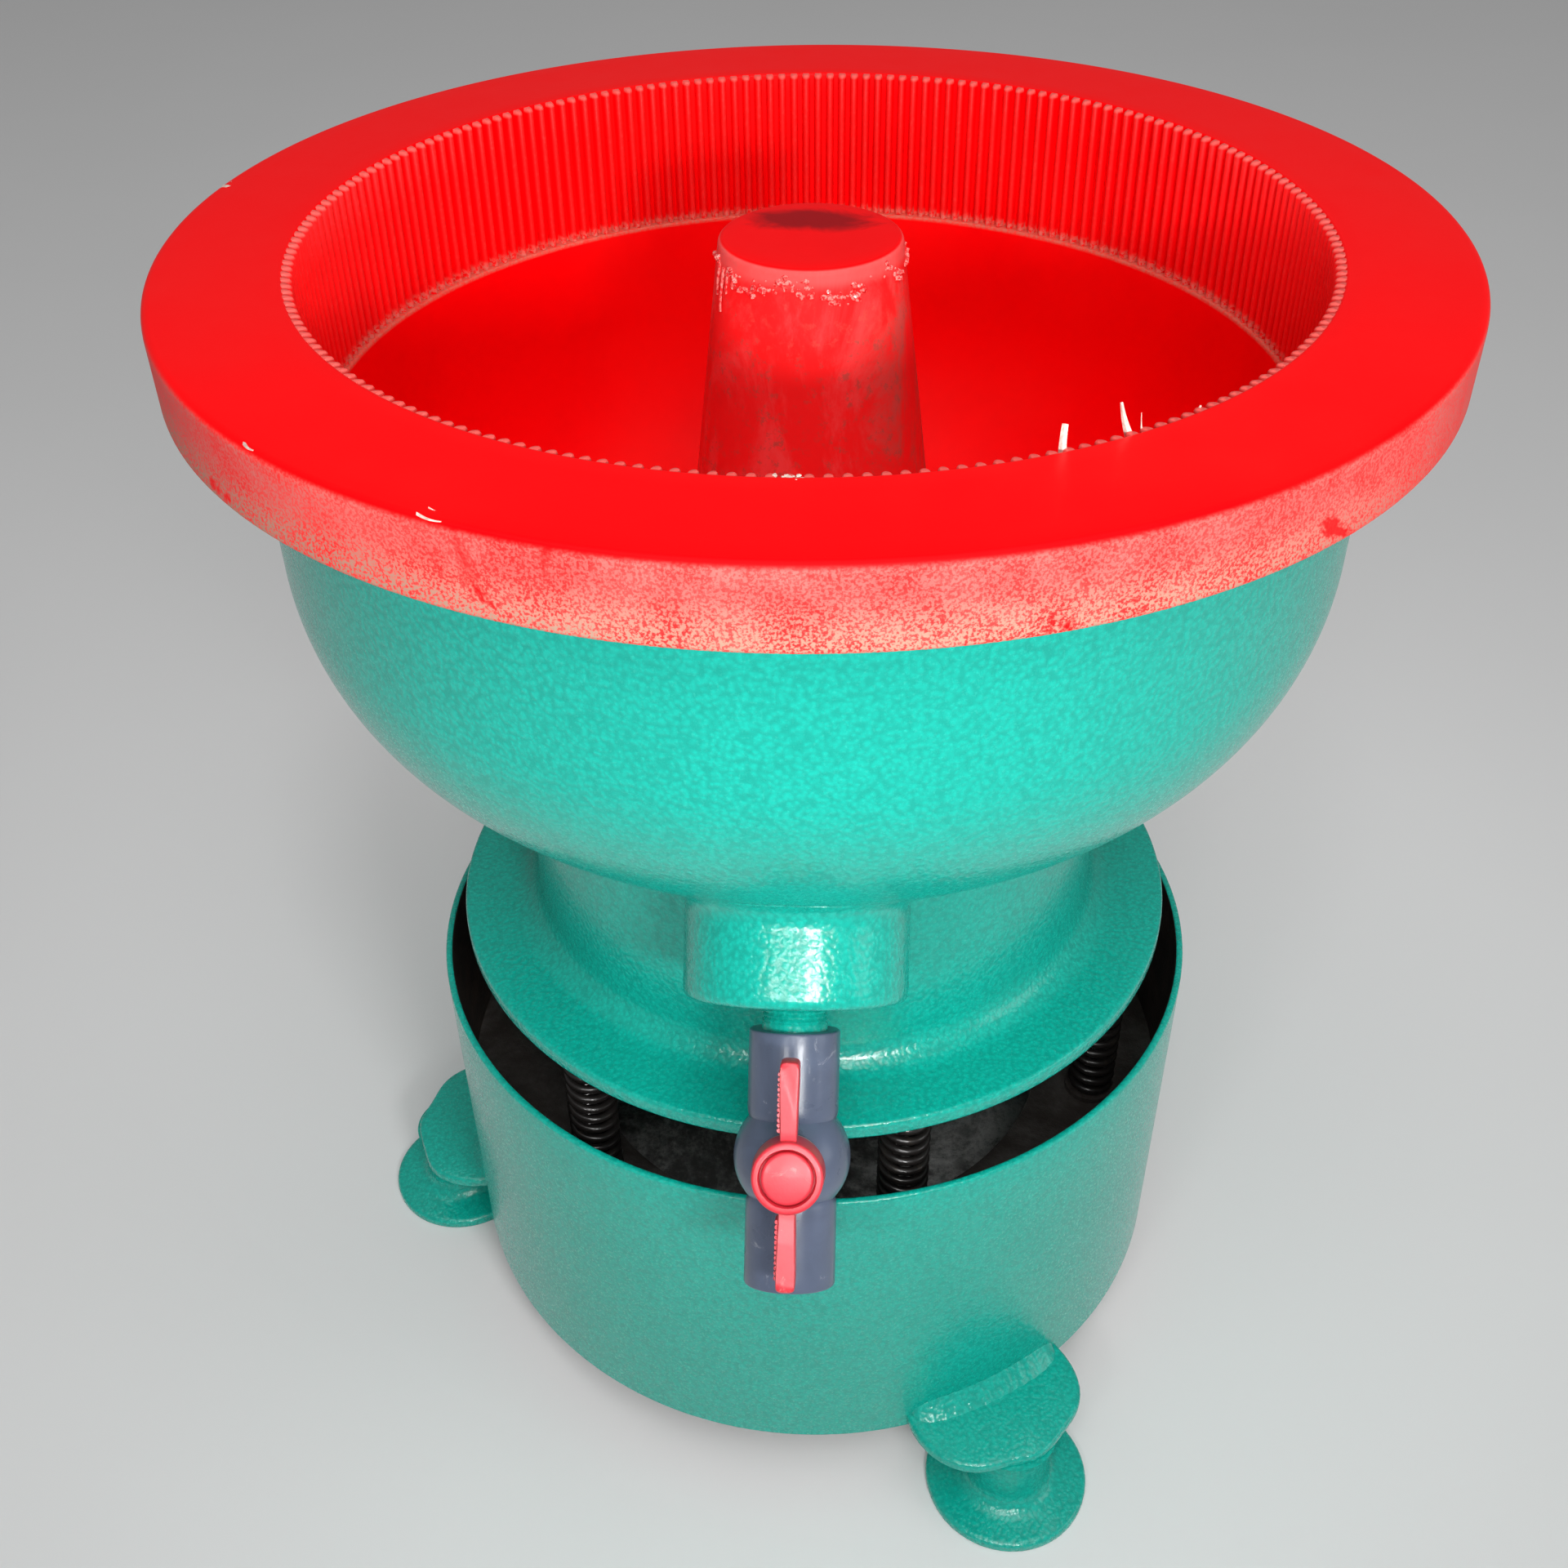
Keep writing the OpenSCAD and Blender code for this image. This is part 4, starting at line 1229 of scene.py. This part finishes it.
KEPT_NODES = {
    "hub_core": "casting", "hub_tie_bolt": "steel", "drain_strainer": "steel", "valve_seats": "seal",
    "valve_seal_ring": "seal", "valve_ball": "valve_plastic", "valve_stem": "seal", "stem_o_rings": "rubber",
    "upper_spring_cups": "paint", "motor_housing": "casting", "motor_bolts": "steel",
    "motor_top_cover": "casting", "motor_bottom_cover": "casting", "upper_bearing": "steel",
    "lower_bearing": "steel", "stator_core": "sheets", "stator_windings": "copper", "terminal_box": "casting",
    "motor_shaft": "steel", "rotor_core": "sheets", "upper_weight": "casting", "upper_weight_bolt": "steel",
    "lower_weight": "casting", "lower_weight_bolt": "steel", "lower_spring_cups": "paint",
    "spring_shelf": "paint", "bottom_plate": "dusty_plate", "cable_gland": "black_plastic",
    "gland_nut": "black_plastic",
}


def dress_frame():
    """Gives every solid that stays in sight its finish."""
    for node, name in KEPT_NODES.items():
        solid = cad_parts[node]
        solid.data.materials.clear()
        solid.data.materials.append(finish(name))


# ---------------------------------------------------------------- stage


def area_light(name, place, target, width, height, power, spread=180):
    light = bpy.data.lights.new(name, "AREA")
    light.shape = "RECTANGLE"
    light.size = width
    light.size_y = height
    light.energy = power
    light.spread = math.radians(spread)
    lamp = bpy.data.objects.new(name, light)
    lamp.location = place
    lamp.rotation_euler = (Vector(target) - Vector(place)).to_track_quat("-Z", "Y").to_euler()
    bpy.context.scene.collection.objects.link(lamp)


def make_camera():
    """A hand-held view from in front and above, its distance and height in rim radii."""
    pitch, roll, yaw = (math.radians(a) for a in (38.47, -0.94, -1.22))
    distance, height = 2.6115 * RIM_R * MM, (0.9757 * RIM_R + RIM_TOP) * MM
    ahead = Vector((math.sin(yaw) * math.cos(pitch), math.cos(yaw) * math.cos(pitch), -math.sin(pitch)))
    level = Vector((math.cos(yaw), -math.sin(yaw), 0))
    up = level.cross(ahead)
    right = math.cos(roll) * level + math.sin(roll) * up
    up = math.cos(roll) * up - math.sin(roll) * level
    data = bpy.data.cameras.new("camera")
    data.sensor_width = 36
    data.lens = 39.375
    data.clip_start = 0.01
    data.clip_end = 50
    camera = bpy.data.objects.new("camera", data)
    turn = Matrix((right, up, -ahead)).transposed().to_4x4()
    to_the_right = Matrix.Rotation(math.radians(2.3), 4, "Z")
    camera.matrix_world = to_the_right @ Matrix.Translation((0, -distance, height)) @ turn
    bpy.context.scene.collection.objects.link(camera)
    bpy.context.scene.camera = camera


def make_stage():
    scene = bpy.context.scene
    scene.view_settings.view_transform = "Standard"
    scene.view_settings.look = "None"
    world = bpy.data.worlds.new("studio")
    scene.world = world
    world.use_nodes = True
    world.node_tree.nodes["Background"].inputs["Color"].default_value = (1, 1, 1, 1)
    world.node_tree.nodes["Background"].inputs["Strength"].default_value = 0.22
    half = 6.0
    mesh = bpy.data.meshes.new("floor")
    corners = [(-half, -half, 0), (half, -half, 0), (half, half, 0), (-half, half, 0)]
    mesh.from_pydata(corners, [], [(0, 1, 2, 3)])
    mesh.materials.append(studio_floor("studio_floor"))
    floor = bpy.data.objects.new("floor", mesh)
    scene.collection.objects.link(floor)
    area_light("window_left", (-0.24, -0.87, 0.73), (0, -0.2, 0.52), 0.14, 0.09, 0.45, 100)
    area_light("window_middle", (0.0, -0.88, 0.70), (0, -0.2, 0.45), 0.14, 0.09, 0.40, 100)
    area_light("window_right", (0.26, -0.85, 0.74), (0, -0.2, 0.52), 0.20, 0.09, 1.55, 100)
    area_light("skylight", (0.12, -0.80, 1.30), (0, -0.02, 0.53), 0.4, 0.4, 1.45, 100)
    area_light("ceiling", (0.1, -0.25, 4.5), (0, 0, 0.4), 3.6, 3.6, 66)
    area_light("doorway", (1.7, -0.5, 0.8), (0, 0, 0.35), 0.8, 0.8, 3.5)


# ---------------------------------------------------------------- operators


class TUMBLER_OT_stage(bpy.types.Operator):
    """Adds the floor, the lights and the camera"""

    bl_idname = "tumbler.stage"
    bl_label = "Stage"

    def execute(self, context):
        make_camera()
        make_stage()
        return {"FINISHED"}


class TUMBLER_OT_liner(bpy.types.Operator):
    """Pours the bowl's lining with its hub"""

    bl_idname = "tumbler.liner"
    bl_label = "Lining"

    def execute(self, context):
        make_liner()
        return {"FINISHED"}


class TUMBLER_OT_ribs(bpy.types.Operator):
    """Sets the ribs round the lining's upper wall"""

    bl_idname = "tumbler.ribs"
    bl_label = "Ribs"

    def execute(self, context):
        make_ribs()
        return {"FINISHED"}


class TUMBLER_OT_flash(bpy.types.Operator):
    """Adds torn slivers, chips and bubbles of lining"""

    bl_idname = "tumbler.flash"
    bl_label = "Flash and bubbles"

    def execute(self, context):
        make_flash()
        return {"FINISHED"}


class TUMBLER_OT_casting(bpy.types.Operator):
    """Builds the bowl, neck, flange and drain boss"""

    bl_idname = "tumbler.casting"
    bl_label = "Casting"

    def execute(self, context):
        make_casting()
        return {"FINISHED"}


class TUMBLER_OT_nipple(bpy.types.Operator):
    """Builds the threaded stub of the drain"""

    bl_idname = "tumbler.nipple"
    bl_label = "Pipe stub"

    def execute(self, context):
        make_nipple()
        return {"FINISHED"}


class TUMBLER_OT_valve(bpy.types.Operator):
    """Builds the drain valve's body"""

    bl_idname = "tumbler.valve"
    bl_label = "Valve"

    def execute(self, context):
        make_valve()
        return {"FINISHED"}


class TUMBLER_OT_handle(bpy.types.Operator):
    """Builds the valve's handle and its cap"""

    bl_idname = "tumbler.handle"
    bl_label = "Handle"

    def execute(self, context):
        make_handle()
        return {"FINISHED"}


class TUMBLER_OT_springs(bpy.types.Operator):
    """Winds the coil springs"""

    bl_idname = "tumbler.springs"
    bl_label = "Springs"

    def execute(self, context):
        make_springs()
        return {"FINISHED"}


class TUMBLER_OT_drum(bpy.types.Operator):
    """Rolls the base drum"""

    bl_idname = "tumbler.drum"
    bl_label = "Drum"

    def execute(self, context):
        make_drum()
        return {"FINISHED"}


class TUMBLER_OT_feet(bpy.types.Operator):
    """Builds the three feet with their tabs"""

    bl_idname = "tumbler.feet"
    bl_label = "Feet"

    def execute(self, context):
        make_feet()
        return {"FINISHED"}


class TUMBLER_OT_dress(bpy.types.Operator):
    """Gives the frame's own parts their finishes"""

    bl_idname = "tumbler.dress"
    bl_label = "Inner parts"

    def execute(self, context):
        dress_frame()
        return {"FINISHED"}


OPERATORS = [
    TUMBLER_OT_stage, TUMBLER_OT_liner, TUMBLER_OT_ribs, TUMBLER_OT_flash, TUMBLER_OT_casting,
    TUMBLER_OT_nipple, TUMBLER_OT_valve, TUMBLER_OT_handle, TUMBLER_OT_springs, TUMBLER_OT_drum,
    TUMBLER_OT_feet, TUMBLER_OT_dress,
]


class TUMBLER_PT_parts(bpy.types.Panel):
    """Lists the pieces and their settings."""

    bl_label = "Vibratory Tumbler"
    bl_idname = "TUMBLER_PT_parts"
    bl_space_type = "VIEW_3D"
    bl_region_type = "UI"
    bl_category = "Tumbler"

    def draw(self, context):
        column = self.layout.column()
        for group in (context.scene.tumbler_sizes, context.scene.tumbler_colours):
            for name in group.__annotations__:
                column.prop(group, name)
        for item in OPERATORS:
            column.operator(item.bl_idname)


CLASSES = [TumblerSizes, TumblerColours, *OPERATORS, TUMBLER_PT_parts]


def register():
    for item in CLASSES:
        bpy.utils.register_class(item)
    bpy.types.Scene.tumbler_sizes = bpy.props.PointerProperty(type=TumblerSizes)
    bpy.types.Scene.tumbler_colours = bpy.props.PointerProperty(type=TumblerColours)


def unregister():
    del bpy.types.Scene.tumbler_colours
    del bpy.types.Scene.tumbler_sizes
    for item in reversed(CLASSES):
        bpy.utils.unregister_class(item)


def main():
    register()
    for item in OPERATORS:
        getattr(bpy.ops.tumbler, item.bl_idname.split(".")[1])()


if __name__ == "__main__":
    main()
